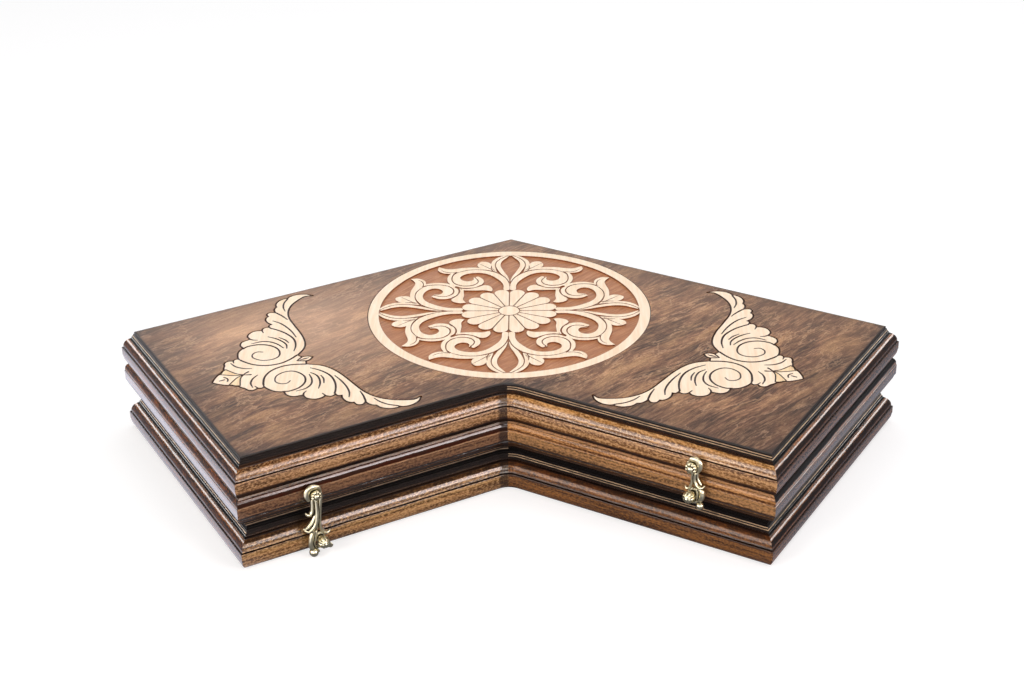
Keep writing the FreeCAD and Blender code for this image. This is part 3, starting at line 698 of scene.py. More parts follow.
def birch_finish(name, pale, grain, fleck):
    """Bare sanded birch: close-grained, faint streaks front to back, no lacquer on it."""
    made = new_finish(name)
    tree = made.node_tree
    place = add_node(tree, "ShaderNodeTexCoord")
    long_way = add_node(tree, "ShaderNodeMapping",
                        {"Vector": place.outputs["Object"], "Scale": (420, 30, 60),
                         "Rotation": (0, 0, math.radians(20))})
    streaks = add_node(tree, "ShaderNodeTexNoise",
                       {"Vector": long_way, "Scale": 1.0, "Detail": 5.0, "Roughness": 0.6})
    tone = add_node(tree, "ShaderNodeValToRGB", {0: streaks},
                    stops=[(0.3, grain), (0.55, pale), (0.75, fleck)])
    relief = add_node(tree, "ShaderNodeBump", {"Strength": 0.15, "Distance": 0.0002, "Height": streaks})
    wood = add_node(tree, "ShaderNodeBsdfPrincipled",
                    {"Base Color": tone, "Roughness": 0.5, "IOR": 1.45, "Normal": relief})
    add_node(tree, "ShaderNodeOutputMaterial", {0: wood})
    return made


pale_birch = birch_finish("bare_birch_sanded", "#f3dec4", "#ebd0b0", "#f8e6d2")
golden_birch = birch_finish("bare_birch_toasted", "#ecd2a8", "#dcb88a", "#f0dab8")
scorched_birch = birch_finish("birch_scorched_by_cutter", "#84451c", "#54280e", "#a66228")
burnt_birch = birch_finish("birch_burnt_line", "#3a1a0c", "#261006", "#4e2814")

# One quarter of the scrolls is drawn, out from the medallion's middle, then mirrored over its
# diagonal and over both axes
scroll = Field(0, MEDALLION_HALF, 0, MEDALLION_HALF)
scroll.stroke([(2.7, 40, 2.5), (2.9, 48, 2.5), (5, 56, 2.9), (9.5, 64, 3.3), (15, 70, 3.1),
               (21.5, 73.6, 2.9), (28, 74.8, 3), (35, 73.8, 3.1), (41, 70.8, 3.3), (45, 65.5, 3.5),
               (45.6, 60, 3.8), (43, 54.7, 4.1), (38, 51.4, 4.4), (33, 51.8, 4), (29.5, 54.8, 3),
               (28.6, 58.6, 2), (30.2, 62.4, 0.5)])
scroll.stroke([(27.2, 62.8, 1.6), (24.6, 58, 2.1), (24.3, 53, 2.1), (26.5, 48.3, 2.1), (31, 45.1, 1.8),
               (37, 44.2, 1.7), (43, 45.8, 1.8), (47.6, 50, 1.9), (50.6, 56, 1.8), (51, 63, 1.7),
               (49.3, 69, 1.5), (47.5, 73, 0.8)])
scroll.stroke([(10, 71.5, 0.6), (16, 76.6, 1.6), (22, 79.3, 2), (30, 80.2, 2.3), (38, 79.2, 2.9),
               (45, 76.8, 3.6), (50.5, 75.0, 4.4), (55, 75.6, 4.3), (58.4, 78.4, 3.1), (60.6, 83.2, 0.4)])
scroll.stroke([(0.9, 55, 0.5), (3.4, 63.6, 1.6), (6.8, 72.6, 1.9), (9.7, 82, 2.0), (10.4, 89, 2.1),
               (8.7, 96, 1.9), (5.3, 101.4, 1.6), (2.1, 104.6, 0.5)])
scroll.stroke([(10.5, 72.5, 0.4), (13.4, 80, 1.3), (14.8, 87, 1.6), (13.9, 94, 1.7), (10.6, 100, 1.6),
               (6.6, 104, 1.2), (3.3, 106.1, 0.5)])
scroll.outline([[(14, 76.5), (27.3, 91)], [(27.3, 91), (24.5, 94), (20, 93.2), (16.9, 89.6), (16.1, 84)],
                [(16.1, 84), (15, 79.5), (14, 76.5)]])
scroll.outline([[(14.4, 76.5), (20, 79.2), (27, 82.9)], [(27, 82.9), (28.2, 86.5), (27.5, 90.8)],
                [(27.5, 90.8), (14.4, 76.5)]])
scroll.outline([[(15.2, 35.8), (14.3, 39.4), (15.2, 43.4), (17.4, 46.6), (20.4, 48)],
                [(20.4, 48), (22.8, 47.2), (25, 45.4)], [(25, 45.4), (30, 42.4), (36, 41), (42, 42.2)],
                [(42, 42.2), (41, 39.6), (38.4, 38.4)],
                [(38.4, 38.4), (28, 37.8), (21, 38.2), (15.2, 35.8)]])

grooves = Field(0, MEDALLION_HALF, 0, MEDALLION_HALF)
for stroke in (
        [(29.8, 62.2, 0.3), (27.3, 58.4, 0.42), (26.7, 54, 0.45), (28.6, 50, 0.45), (33, 47.1, 0.45),
         (39, 46.8, 0.45), (45, 49.8, 0.45), (48.4, 56, 0.5), (48.9, 63, 0.5), (47.8, 69, 0.45),
         (45.3, 73.6, 0.3)],
        [(8.6, 70.4, 0.4), (12.5, 73.4, 0.5), (20, 77, 0.42), (28, 78.2, 0.42), (36, 77.2, 0.42),
         (43, 73.8, 0.3)],
        [(0, 46, 0.5), (0, 58, 0.5)],
        [(10.8, 73, 0.75), (7, 67.6, 0.42), (3.6, 61.4, 0.42), (1.4, 55, 0.42), (0.2, 49, 0.3)],
        [(10.8, 73, 0.5), (12.1, 80, 0.42), (12.8, 87, 0.42), (11.7, 94, 0.42), (8.2, 100, 0.4),
         (3.6, 104.8, 0.3)],
        [(15, 76, 0.5), (16.2, 80, 0.5), (16, 85.5, 0.3)],
        [(16, 78.6, 0.3), (20, 83, 0.35), (25.5, 89, 0.15)],
        [(46.6, 72.6, 0.5), (51, 72.6, 0.4), (55.6, 74.2, 0.35), (58.6, 77.4, 0.15)],
        [(39.8, 38.4, 0.3), (40.8, 41.6, 0.4), (43.4, 44.6, 0.7), (45, 45, 1.0)],
        [(24.6, 47.6, 0.4), (28.2, 44, 0.4), (33, 42.4, 0.4), (39, 42.4, 0.4), (43.6, 44.6, 0.4)]):
    grooves.stroke(stroke)

leaves = np.maximum(scroll.d, -grooves.d)
leaves = np.minimum(leaves, leaves.T)
leaves = np.concatenate([leaves[:0:-1], leaves])
leaves = np.concatenate([leaves[:, :0:-1], leaves], 1)
medallion_at = np.array([0.0, MEDALLION_Y]) + np.array(PLAN_SHIFT)
floor_z = LID_Z - CUT_DEPTH


def ring_loop(radius, count=180):
    """Circle round the medallion's middle, in plan points of the case."""
    turn = np.linspace(0, 2 * math.pi, count, endpoint=False)
    return np.stack([radius * np.cos(turn), radius * np.sin(turn)], 1) + medallion_at


def standing_plate(name, loops):
    """Pale birch that stands from a little under the cut ground up to the lid's face."""
    return cut_plate(name, loops, floor_z - LET_IN, LID_Z, pale_birch, scorched_birch)


leaf_loops = [loop + medallion_at for loop in cutter_paths(leaves, -MEDALLION_HALF, -MEDALLION_HALF)]
scrolls = standing_plate("medallion_scrolls", leaf_loops)
ring = standing_plate("medallion_ring", [ring_loop(RING_OUTER), ring_loop(RING_INNER)])


# Daisy in the middle: sixteen round-ended petals and a heart, cut like the scrolls. One petal
# is drawn and turned round the middle.
PETALS = 16
DAISY_R = 39.0
HEART_R = 8.2
PETAL_GAP = 0.9
TIP_STEPS = 12
step = math.pi / PETALS
tip_r = (DAISY_R * math.sin(step) - PETAL_GAP / 2) / (1 + math.sin(step))
tip_at = DAISY_R - tip_r
root = HEART_R + 0.8
petal_line = [(root, -(root * math.tan(step) - PETAL_GAP / 2))]
for k in range(TIP_STEPS + 1):
    angle = -math.pi / 2 - step + (math.pi + 2 * step) * k / TIP_STEPS
    petal_line.append((tip_at + tip_r * math.cos(angle), tip_r * math.sin(angle)))
petal_line.append((root, root * math.tan(step) - PETAL_GAP / 2))
petal = standing_plate("daisy_petals", [np.array(petal_line)])

daisy_tree = bpy.data.node_groups.new("daisy_turned_petals", "GeometryNodeTree")
face = daisy_tree.interface
face.new_socket("Petal", in_out="INPUT", socket_type="NodeSocketGeometry")
count_in = face.new_socket("Petals", in_out="INPUT", socket_type="NodeSocketInt")
middle_in = face.new_socket("Middle", in_out="INPUT", socket_type="NodeSocketVector")
finish_in = face.new_socket("Finish", in_out="INPUT", socket_type="NodeSocketMaterial")
wall_in = face.new_socket("Wall", in_out="INPUT", socket_type="NodeSocketMaterial")
face.new_socket("Daisy", in_out="OUTPUT", socket_type="NodeSocketGeometry")
given = add_node(daisy_tree, "NodeGroupInput")
spots = add_node(daisy_tree, "GeometryNodePoints",
                 {"Count": given.outputs["Petals"], "Position": given.outputs["Middle"]})
number = add_node(daisy_tree, "GeometryNodeInputIndex")
half_way = add_node(daisy_tree, "ShaderNodeMath", {0: number, 1: 0.5}, operation="ADD")
share = add_node(daisy_tree, "ShaderNodeMath", {0: half_way, 1: given.outputs["Petals"]},
                 operation="DIVIDE")
angle = add_node(daisy_tree, "ShaderNodeMath", {0: share, 1: 2 * math.pi}, operation="MULTIPLY")
turn = add_node(daisy_tree, "ShaderNodeCombineXYZ", {2: angle})
copies = add_node(daisy_tree, "GeometryNodeInstanceOnPoints",
                  {"Points": spots, "Instance": given.outputs["Petal"], "Rotation": turn})
whole = add_node(daisy_tree, "GeometryNodeRealizeInstances", {0: copies})
normal = add_node(daisy_tree, "GeometryNodeInputNormal")
upright = add_node(daisy_tree, "ShaderNodeSeparateXYZ", {0: normal})
is_wall = add_node(daisy_tree, "ShaderNodeMath", {0: upright.outputs["Z"], 1: 0.5}, operation="LESS_THAN")
coated = add_node(daisy_tree, "GeometryNodeSetMaterial",
                  {"Geometry": whole, "Material": given.outputs["Finish"]})
walled = add_node(daisy_tree, "GeometryNodeSetMaterial",
                  {"Geometry": coated, "Selection": is_wall, "Material": given.outputs["Wall"]})
add_node(daisy_tree, "NodeGroupOutput", {0: walled})


def grown(piece, tree, settings):
    """The piece with a geometry tree run on it, as a plain mesh."""
    run = piece.modifiers.new("tree", "NODES")
    run.node_group = tree
    for socket, value in settings:
        run[socket.identifier] = value
    piece.update_tag()
    bpy.context.view_layer.update()
    mesh = bpy.data.meshes.new_from_object(piece.evaluated_get(bpy.context.evaluated_depsgraph_get()))
    piece.modifiers.clear()
    piece.data = mesh
    return piece


middle = (medallion_at[0] / 1000, medallion_at[1] / 1000, 0.0)
daisy = grown(petal, daisy_tree, [(count_in, PETALS), (middle_in, middle), (finish_in, pale_birch),
                                  (wall_in, scorched_birch)])
heart = standing_plate("daisy_heart", [ring_loop(HEART_R, 48)])
for piece in (scrolls, ring, daisy, heart):
    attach(piece, "top_tray")


# Corner ornaments, one on each arm of the lid: a pair of volutes with acanthus leaves, left
# in bare birch and drawn round with a burnt line. They are drawn along the notch edge (u)
# and inwards from it (v), and the half near the notch edge is mirrored to the back half.
ORNAMENT_BOX = (62, 196, 0, 113.0)
BURNT_LINE = 1.25
SCORCH = 0.32
SCORCH_DEPTH = 0.12

half = Field(*ORNAMENT_BOX)
half.outline([
    [(192.5, 113), (189.8, 109.3), (186.7, 106), (183.3, 103.2)],
    [(183.3, 103.2), (181.4, 102.4), (179.6, 100), (177.3, 98.2)],
    [(177.3, 98.2), (176.4, 95.4), (174.6, 92.6)],
    [(174.6, 92.6), (173.2, 88.6), (170, 86.8), (166.2, 88.4)],
    [(166.2, 88.4), (164, 86.8), (162, 87.4), (160.6, 91)],
    [(160.6, 91), (160.5, 85), (157, 77), (151, 72.3)],
    [(151, 72.3), (151.3, 67), (148, 62.3), (140.6, 60.9)],
    [(140.6, 60.9), (140.4, 55), (136, 50.6), (131, 50), (127, 51.8)],
    [(127, 51.8), (124.5, 48.8), (121.5, 48.6), (119.3, 50.6)],
    [(119.3, 50.6), (118.6, 46.6), (115.8, 45.6)],
    [(115.8, 45.6), (117.3, 41), (117, 36), (115, 32.4), (112.6, 31.4)],
    [(112.6, 31.4), (112.2, 27), (109, 25.2), (105.8, 27.4), (104.4, 30)],
    [(104.4, 30), (104.6, 25.4), (103, 21), (100.2, 18.8)],
    [(100.2, 18.8), (98.6, 13.5), (93.5, 8.8), (87.8, 7.6)],
    [(87.8, 7.6), (86.8, 9.4)],
    [(86.8, 9.4), (84, 6.8), (78, 5.8), (71, 8.4), (66.3, 13.6)],
    [(66.3, 13.6), (72, 11.6), (80, 15), (89, 21.5), (96, 31), (100, 43), (101.5, 58), (103, 75),
     (106, 88), (111, 97), (119.6, 104.4)],
    [(119.6, 104.4), (118.6, 107), (117.8, 109.6)],
    [(117.8, 109.6), (114, 110), (110.5, 113)],
    [(110.5, 113), (110.5, 116)], [(110.5, 116), (192.5, 116)], [(192.5, 116), (192.5, 113)]])

lines = Field(*ORNAMENT_BOX)
for stroke in (
        [(119.6, 104.4, 0.6), (128, 108.6, 0.55), (137, 110.4, 0.5), (147, 108, 0.5), (155, 101.4, 0.5),
         (159.6, 93, 0.55), (160.6, 90, 0.5)],
        [(152, 73.2, 0.5), (147, 71.3, 0.5), (139, 72.6, 0.5), (132, 78, 0.5), (128.6, 86, 0.48),
         (129.6, 94, 0.42), (133.5, 99.6, 0.36), (140, 101, 0.3), (147, 98, 0.3), (150.8, 91, 0.28),
         (149, 85.6, 0.28), (144.4, 83.6, 0.25), (140.6, 86, 0.2)],
        [(119, 97, 0.15), (114.5, 90, 0.4), (111.6, 82, 0.5), (111, 74, 0.55), (113, 64, 0.5),
         (116.5, 56, 0.45), (119.6, 51, 0.5)],
        [(108, 76, 0.15), (107.2, 66, 0.4), (107.6, 56, 0.45), (109.4, 47, 0.4), (112.8, 40, 0.15)],
        [(122, 90, 0.15), (119.8, 84, 0.4), (120.4, 77, 0.45), (123, 70, 0.4), (127, 64, 0.15)],
        [(117, 82, 0.15), (117.4, 76, 0.4), (120, 69.6, 0.15)],
        [(124, 88, 0.15), (125.4, 80, 0.4), (129, 73, 0.45), (135, 69, 0.4), (143, 68.6, 0.15)],
        [(127, 51.4, 0.45), (127.6, 55.6, 0.15)],
        [(140.8, 60.6, 0.45), (139.4, 63, 0.35), (136.6, 65, 0.15)],
        [(104.6, 28.6, 0.5), (102.8, 36, 0.45), (101.8, 44, 0.15)],
        [(97.4, 29, 0.15), (96, 22, 0.4), (92.4, 15, 0.4), (87, 9.4, 0.45)],
        [(158.6, 107, 0.15), (164, 103.4, 0.4), (168, 97.6, 0.45), (169.2, 90.6, 0.15)],
        [(166.2, 88, 0.4), (167, 91.6, 0.15)],
        [(117.6, 109.4, 0.4), (120.6, 111.2, 0.4), (123.2, 113, 0.3)],
        [(113.6, 113, 0.2), (117, 113, 0.5), (120.6, 113, 0.2)],
        [(167.5, 112.7, 0.3), (165.2, 111.4, 0.4), (162.8, 110.4, 0.6)],
        [(183, 113, 0.3), (185, 113, 0.45), (187.2, 113, 0.3)],
        [(182.2, 109.4, 0.3), (180.9, 111.4, 0.35), (180.6, 113, 0.3)]):
    lines.stroke(stroke)
side_leaf = Field(*ORNAMENT_BOX)
side_leaf.outline([[(183.4, 103.4), (177.6, 108.2), (172.8, 111.5), (167.5, 112.9)],
                   [(167.5, 112.9), (171.2, 109.4), (173.6, 104.8), (176.2, 98.2)],
                   [(176.2, 98.2), (179.6, 100), (181.4, 102.4), (183.4, 103.4)]])


def both_halves(field):
    """The field of the whole ornament from that of its front half."""
    return np.concatenate([field, field[:, -2::-1]], 1)


leaf_shape = np.maximum(side_leaf.d + 0.3, half.d)
body_shape = np.maximum(np.maximum(half.d, -lines.d), -(leaf_shape - 0.5))
u_from, v_from = ORNAMENT_BOX[0], ORNAMENT_BOX[2]
body_loops, leaf_loops = [
    [cutter_paths(both_halves(shape), u_from, v_from, level) for level in (0.0, -SCORCH)]
    for shape in (body_shape, leaf_shape)]
pocket_loops = cutter_paths(both_halves(half.d), u_from, v_from, BURNT_LINE)


def on_arm(loop, hand):
    """Loop in (u, v) of one arm as plan points of the case."""
    along = np.array([math.cos(ARM_ANGLE), -math.sin(ARM_ANGLE)])
    inward = np.array([math.sin(ARM_ANGLE), math.cos(ARM_ANGLE)])
    plan = loop[:, :1] * along + loop[:, 1:] * inward + np.array(PLAN_SHIFT)
    return plan if hand == "right" else plan * (-1, 1)


lid_pockets = [ring_loop(RING_OUTER + 0.7)]
for hand in ("right", "left"):
    shown = []
    for (foot_loops, face_loops), wood in ((body_loops, pale_birch), (leaf_loops, golden_birch)):
        face_z = LID_Z - SCORCH_DEPTH
        shown.append(cut_plate("ornament_foot", [on_arm(p, hand) for p in foot_loops], floor_z - LET_IN,
                               face_z, burnt_birch))
        shown.append(cut_plate("ornament_face", [on_arm(p, hand) for p in face_loops], face_z - LET_IN,
                               LID_Z, wood, burnt_birch))
    ornament = joined(f"corner_ornament_{hand}", shown)
    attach(ornament, "top_tray")
    lid_pockets += [on_arm(p, hand) for p in pocket_loops]


# Panels: 5 mm birch plywood with two small steps worked round the edge, stained walnut brown,
# the steps nearly black, with painted highlights on the arrises of one arm and painted shade on
# the steps that lie in the gaps between trays. The lid panel is cut for the carving on its
# face, and every panel for the playing points on its inner side.
VENEER_FROM = 4.4
PANEL_LAYERS = [(0.0, CUT_DEPTH), (CUT_DEPTH, VENEER_FROM), (VENEER_FROM, PANEL_THICK)]
EDGE_INNER = -1.5
PANEL_EDGE = [(EDGE_INNER, 0.0), (-0.85, 0.0), (-0.2, 0.2), (0.0, 0.75), (0.0, 1.85), (-0.12, 2.0),
              (0.35, 2.0), (0.8, 2.45), (0.8, 3.35), (0.68, 3.5), (1.05, 3.5), (1.5, 3.95),
              (1.5, PANEL_THICK), (EDGE_INNER, PANEL_THICK)]

# The arm and the rows of the edge section that carry a painted highlight on each tray, and the
# rows of the bottom tray's edge by its joint with the middle tray, which carry painted shade
ARRIS_HIGHLIGHT_ROWS = {"bottom": ("right", (6, 10)), "middle": ("left", (7,)), "top": ("right", (6, 10))}
LOWER_STEP = 10
SHADED_JOINT_ROWS = range(4)

# Numbers of three corners in the outline, which begins with the arc of the notch corner
RIGHT_FRONT, APEX, LEFT_BACK = 17, 19, 20


def panel_loop(offset):
    """Outline of a panel layer with its rounded notch corner."""
    corners = plan_corners(offset)
    centre = Vector((0, -NOTCH_CORNER_R / math.cos(ARM_ANGLE)))
    arm = NOTCH_CORNER_R - offset
    loop = []
    for k in range(-NOTCH_STEPS, NOTCH_STEPS + 1):
        turn = ARM_ANGLE * k / NOTCH_STEPS
        loop.append(centre + Vector((math.sin(turn), math.cos(turn))) * arm)
    loop += corners[1:] + [corners[2] * Vector((-1, 1)), corners[1] * Vector((-1, 1))]
    return np.array([p + PLAN_SHIFT for p in loop])


def stepped_edge(name, tray, finishes):
    """The worked edge all round a panel: the section of the steps carried along the outline.
    The arrises of one arm carry a painted highlight, and on the bottom tray the rows by the joint
    carry painted shade. Finishes: face, step, arris highlight, joint shade."""
    back_z, sign = TRAYS[tray]
    highlit_hand, highlit_rows = ARRIS_HIGHLIGHT_ROWS[tray]
    rings = [panel_loop(offset) for offset, depth in PANEL_EDGE]
    count, rows = len(rings[0]), len(PANEL_EDGE)
    points = [(x / 1000, y / 1000, (back_z + sign * depth) / 1000)
              for ring, (offset, depth) in zip(rings, PANEL_EDGE) for x, y in ring]
    faces, kinds = [], []
    for i in range(rows):
        n = (i + 1) % rows
        for k in range(count):
            m = (k + 1) % count
            faces.append((i * count + k, i * count + m, n * count + m, n * count + k))
            right_notch, left_notch = NOTCH_STEPS <= k < RIGHT_FRONT, k < NOTCH_STEPS or k == count - 1
            notch_side = right_notch if highlit_hand == "right" else left_notch
            end_side = i == LOWER_STEP and k in (RIGHT_FRONT, LEFT_BACK)
            if i in (0, rows - 2, rows - 1):
                kinds.append(0)
            # Painted highlight on the arrises of one arm and at the ends
            elif i in highlit_rows and (notch_side or end_side):
                kinds.append(2)
            # Painted shade on the bottom tray's rows by the joint with the middle tray
            elif tray == "bottom" and i in SHADED_JOINT_ROWS:
                kinds.append(3)
            else:
                kinds.append(1)
    mesh = bpy.data.meshes.new(name)
    mesh.from_pydata(points, [], faces)
    for finish in finishes:
        mesh.materials.append(finish)
    for face, kind in zip(mesh.polygons, kinds):
        face.material_index = kind
    faced_out(mesh)
    return object_of(name, mesh)


GRAIN_TURN = math.radians(-44)
# Middle of the painted sheen patch on the lid's left arm
SHEEN_PATCH_AT = (-0.17, 0.02, LID_Z / 1000)


def ply_finish(name, ground):
    """Rotary-cut birch face veneer laid with its grain aslant: soft streaks along the grain,
    cloudy figure where the stain took unevenly, pale glints between, and a painted sheen that
    pales the far part and a patch on the left arm. Satin lacquer."""
    made = new_finish(name)
    tree = made.node_tree
    place = add_node(tree, "ShaderNodeTexCoord")
    drift_way = add_node(tree, "ShaderNodeMapping",
                         {"Vector": place.outputs["Object"], "Scale": (9, 9, 9)})
    drift = add_node(tree, "ShaderNodeTexNoise",
                     {"Vector": drift_way, "Scale": 1.0, "Detail": 2.0, "Roughness": 0.5})
    push = add_node(tree, "ShaderNodeVectorMath", {0: drift.outputs["Color"], 1: (0.022, 0.022, 0.0)},
                    operation="MULTIPLY")
    bent = add_node(tree, "ShaderNodeVectorMath", {0: place.outputs["Object"], 1: push}, operation="ADD")
    aslant = add_node(tree, "ShaderNodeMapping", {"Vector": bent, "Rotation": (0, 0, GRAIN_TURN)})
    noises = {}
    for key, scale, detail, rough in (
            ("streaks", (60, 520, 40), 8.0, 0.72), ("clouds", (13, 36, 12), 8.0, 0.66),
            ("glints", (30, 150, 30), 4.0, 0.7), ("pores", (500, 1700, 100), 2.0, 0.5),
            ("figure", (16, 40, 16), 5.0, 0.6)):
        way = add_node(tree, "ShaderNodeMapping", {"Vector": aslant, "Scale": scale})
        noises[key] = add_node(tree, "ShaderNodeTexNoise",
                               {"Vector": way, "Scale": 1.0, "Detail": detail, "Roughness": rough})
    cloud_tone = add_node(tree, "ShaderNodeValToRGB", {0: noises["clouds"]},
                          stops=[(0.4, "#281810"), (0.47, "#583a2a"), (0.53, "#825a42"), (0.62, "#c4966c")])
    streak_tone = add_node(tree, "ShaderNodeValToRGB", {0: noises["streaks"]},
                           stops=[(0.39, "#2a1810"), (0.5, "#74503a"), (0.61, "#cc9e74")])
    colour = add_node(tree, "ShaderNodeMix", {0: 0.45, 6: cloud_tone, 7: streak_tone}, data_type="RGBA")
    glint = add_node(tree, "ShaderNodeMapRange", {0: noises["glints"], 1: 0.54, 2: 0.7, 4: 0.5})
    from_crest = add_node(tree, "ShaderNodeMath", {0: noises["figure"], 1: 0.5}, operation="SUBTRACT")
    off_crest = add_node(tree, "ShaderNodeMath", {0: from_crest}, operation="ABSOLUTE")
    flame = add_node(tree, "ShaderNodeMapRange", {0: off_crest, 2: 0.016, 3: 0.5, 4: 0.0})
    pricks = add_node(tree, "ShaderNodeMapRange", {0: noises["pores"], 1: 0.46, 2: 0.66, 4: 0.4})
    # Painted sheen: a pale patch on the left arm and a paler far part stand in for the lacquer's sheen
    off_patch = add_node(tree, "ShaderNodeVectorMath", {0: place.outputs["Object"], 1: SHEEN_PATCH_AT},
                         operation="DISTANCE")
    sheen_patch = add_node(tree, "ShaderNodeMapRange", {0: off_patch, 1: 0.13, 2: 0.02, 4: 0.46})
    spots = add_node(tree, "ShaderNodeSeparateXYZ", {0: place.outputs["Object"]})
    far_sheen = add_node(tree, "ShaderNodeMapRange", {0: spots.outputs["Y"], 1: -0.02, 2: 0.22, 4: 0.24})

    # How far a point lies outside the panel's outline, rounded a little at the corners
    across = add_node(tree, "ShaderNodeMath", {0: spots.outputs["X"]}, operation="ABSOLUTE")
    flat = add_node(tree, "ShaderNodeCombineXYZ", {0: across, 1: spots.outputs["Y"]})
    edge = None
    corners = [p + PLAN_SHIFT for p in plan_corners(0)]
    for a, b in zip(corners, corners[1:]):
        out = Vector(((b - a).y, -(b - a).x)).normalized()
        reach = add_node(tree, "ShaderNodeVectorMath", {0: flat, 1: (out.x, out.y, 0)},
                         operation="DOT_PRODUCT")
        gap = add_node(tree, "ShaderNodeMath", {0: reach, 1: out.dot(a) / 1000}, operation="SUBTRACT")
        if edge is None:
            edge = gap
        else:
            edge = add_node(tree, "ShaderNodeMath", {0: edge, 1: gap, 2: 0.02}, operation="SMOOTH_MAX")
    ragged = add_node(tree, "ShaderNodeMath", {0: noises["clouds"], 1: 0.03, 2: edge},
                      operation="MULTIPLY_ADD")
    near = add_node(tree, "ShaderNodeMapRange", {0: ragged, 1: -0.022, 2: 0.018, 4: 0.5})
    brink = add_node(tree, "ShaderNodeMapRange", {0: edge, 1: -0.0022, 2: -0.0004, 4: 0.7})
    amounts = [(glint, "#bf9468"), (flame, "#d0a680"), (pricks, "#2c1a10"), (sheen_patch, "#dcb496"),
               (far_sheen, "#d2a98c"), (near, "#3a251a"), (brink, "#241812")]

    # The cut ground: salmon inside the ring, burnt round the corner ornaments
    if ground:
        medallion = (middle[0], middle[1], LID_Z / 1000)
        to_middle = add_node(tree, "ShaderNodeVectorMath", {0: place.outputs["Object"], 1: medallion},
                             operation="DISTANCE")
        inside = add_node(tree, "ShaderNodeMath", {0: to_middle, 1: (RING_OUTER - 1) / 1000},
                          operation="LESS_THAN")
        low = add_node(tree, "ShaderNodeMath", {0: spots.outputs["Z"], 1: floor_z / 1000, 2: 0.0008},
                       operation="COMPARE")
        amounts.append((low, "#3a1a0c"))
    for amount, tint in amounts:
        colour = add_node(tree, "ShaderNodeMix", {0: amount, 6: colour, 7: linear_colour(tint)},
                          data_type="RGBA")
    if ground:
        sunk = add_node(tree, "ShaderNodeMath", {0: inside, 1: low}, operation="MULTIPLY")
        salmon = add_node(tree, "ShaderNodeValToRGB", {0: noises["streaks"]},
                          stops=[(0.3, "#8a5838"), (0.5, "#a8704c"), (0.7, "#c08c64")])
        colour = add_node(tree, "ShaderNodeMix", {0: sunk, 6: colour, 7: salmon}, data_type="RGBA")
    relief = add_node(tree, "ShaderNodeBump",
                      {"Strength": 0.2, "Distance": 0.0002, "Height": noises["pores"]})
    shine = add_node(tree, "ShaderNodeMapRange", {0: noises["clouds"], 3: 0.34, 4: 0.5})
    wood = add_node(tree, "ShaderNodeBsdfPrincipled",
                    {"Base Color": colour, "Roughness": shine, "IOR": 1.48, "Specular IOR Level": 0.17,
                     "Normal": relief})
    add_node(tree, "ShaderNodeOutputMaterial", {0: wood})
    return made


def edge_finish(name, colour, rough, coat):
    """Stained and lacquered edge of the plywood, its plies filled by the stain."""
    made = new_finish(name)
    tree = made.node_tree
    place = add_node(tree, "ShaderNodeTexCoord")
    way = add_node(tree, "ShaderNodeMapping",
                   {"Vector": place.outputs["Object"], "Scale": (160, 160, 900)})
    plies = add_node(tree, "ShaderNodeTexNoise", {"Vector": way, "Scale": 1.0, "Detail": 4.0})
    amount = add_node(tree, "ShaderNodeMapRange", {0: plies, 1: 0.42, 2: 0.62, 4: 0.8})
    tone = add_node(tree, "ShaderNodeMix",
                    {0: amount, 6: linear_colour(colour), 7: linear_colour(colour, 0.4)}, data_type="RGBA")
    wood = add_node(tree, "ShaderNodeBsdfPrincipled",
                    {"Base Color": tone, "Roughness": rough, "IOR": 1.45, "Specular IOR Level": coat + 0.1,
                     "Coat Weight": coat, "Coat Roughness": 0.12})
    add_node(tree, "ShaderNodeOutputMaterial", {0: wood})
    return made


lid_ply = ply_finish("birch_ply_walnut_stain_cut", True)
plain_ply = ply_finish("birch_ply_walnut_stain", False)
step_stain = edge_finish("ply_edge_black_brown_stain", "#1e1511", 0.45, 0.15)
# Painted shade: near black for the steps in the gaps between trays
painted_shade_black = edge_finish("ply_edge_painted_shade_black", "#0a0605", 0.6, 0.0)
# Painted highlights on the step arrises: light on the top and bottom trays, dimmer on the middle tray
painted_arris_highlight = edge_finish("ply_edge_painted_arris_highlight", "#b69878", 0.35, 0.3)
painted_dim_arris_highlight = edge_finish("ply_edge_painted_dim_arris_highlight", "#8c7864", 0.4, 0.0)

# The playing points' triangles, and the outline of a panel with gaps for the base hinges
POINTS_PER_ARM = 6
POINT_PITCH = 34.0
POINT_BASE = 29.0
POINT_LENGTH = 150.0
POINT_FROM = 9.0
wall_start = RAIL_INNER * math.tan(ARM_ANGLE)
first_point = (wall_start + NOTCH_EDGE + RAIL_INNER - (POINTS_PER_ARM - 1) * POINT_PITCH) / 2
point_loops = []
for k in range(POINTS_PER_ARM):
    s = first_point + k * POINT_PITCH
    triangle = np.array([(s - POINT_BASE / 2, POINT_FROM), (s + POINT_BASE / 2, POINT_FROM),
                         (s, POINT_FROM + POINT_LENGTH)])
    point_loops += [on_arm(triangle, "right"), on_arm(triangle, "left")]

BACK_LEAF_INNER = 9.1
BACK_LEAF_WIDTH = 19.2
hinges, along, inward = hinge_places(RAIL_NAMES.index("back_rail") + 1)
notched = [Vector(p) for p in panel_loop(EDGE_INNER)]
for k, middle_at in enumerate(hinges):
    ways = ((-1, -EDGE_INNER), (-1, BACK_LEAF_INNER), (1, BACK_LEAF_INNER), (1, -EDGE_INNER))
    gap = [middle_at + along * (LEAF_LENGTH / 2 * end) + inward * reach for end, reach in ways]
    place = APEX + 1 + len(gap) * k
    notched[place:place] = gap

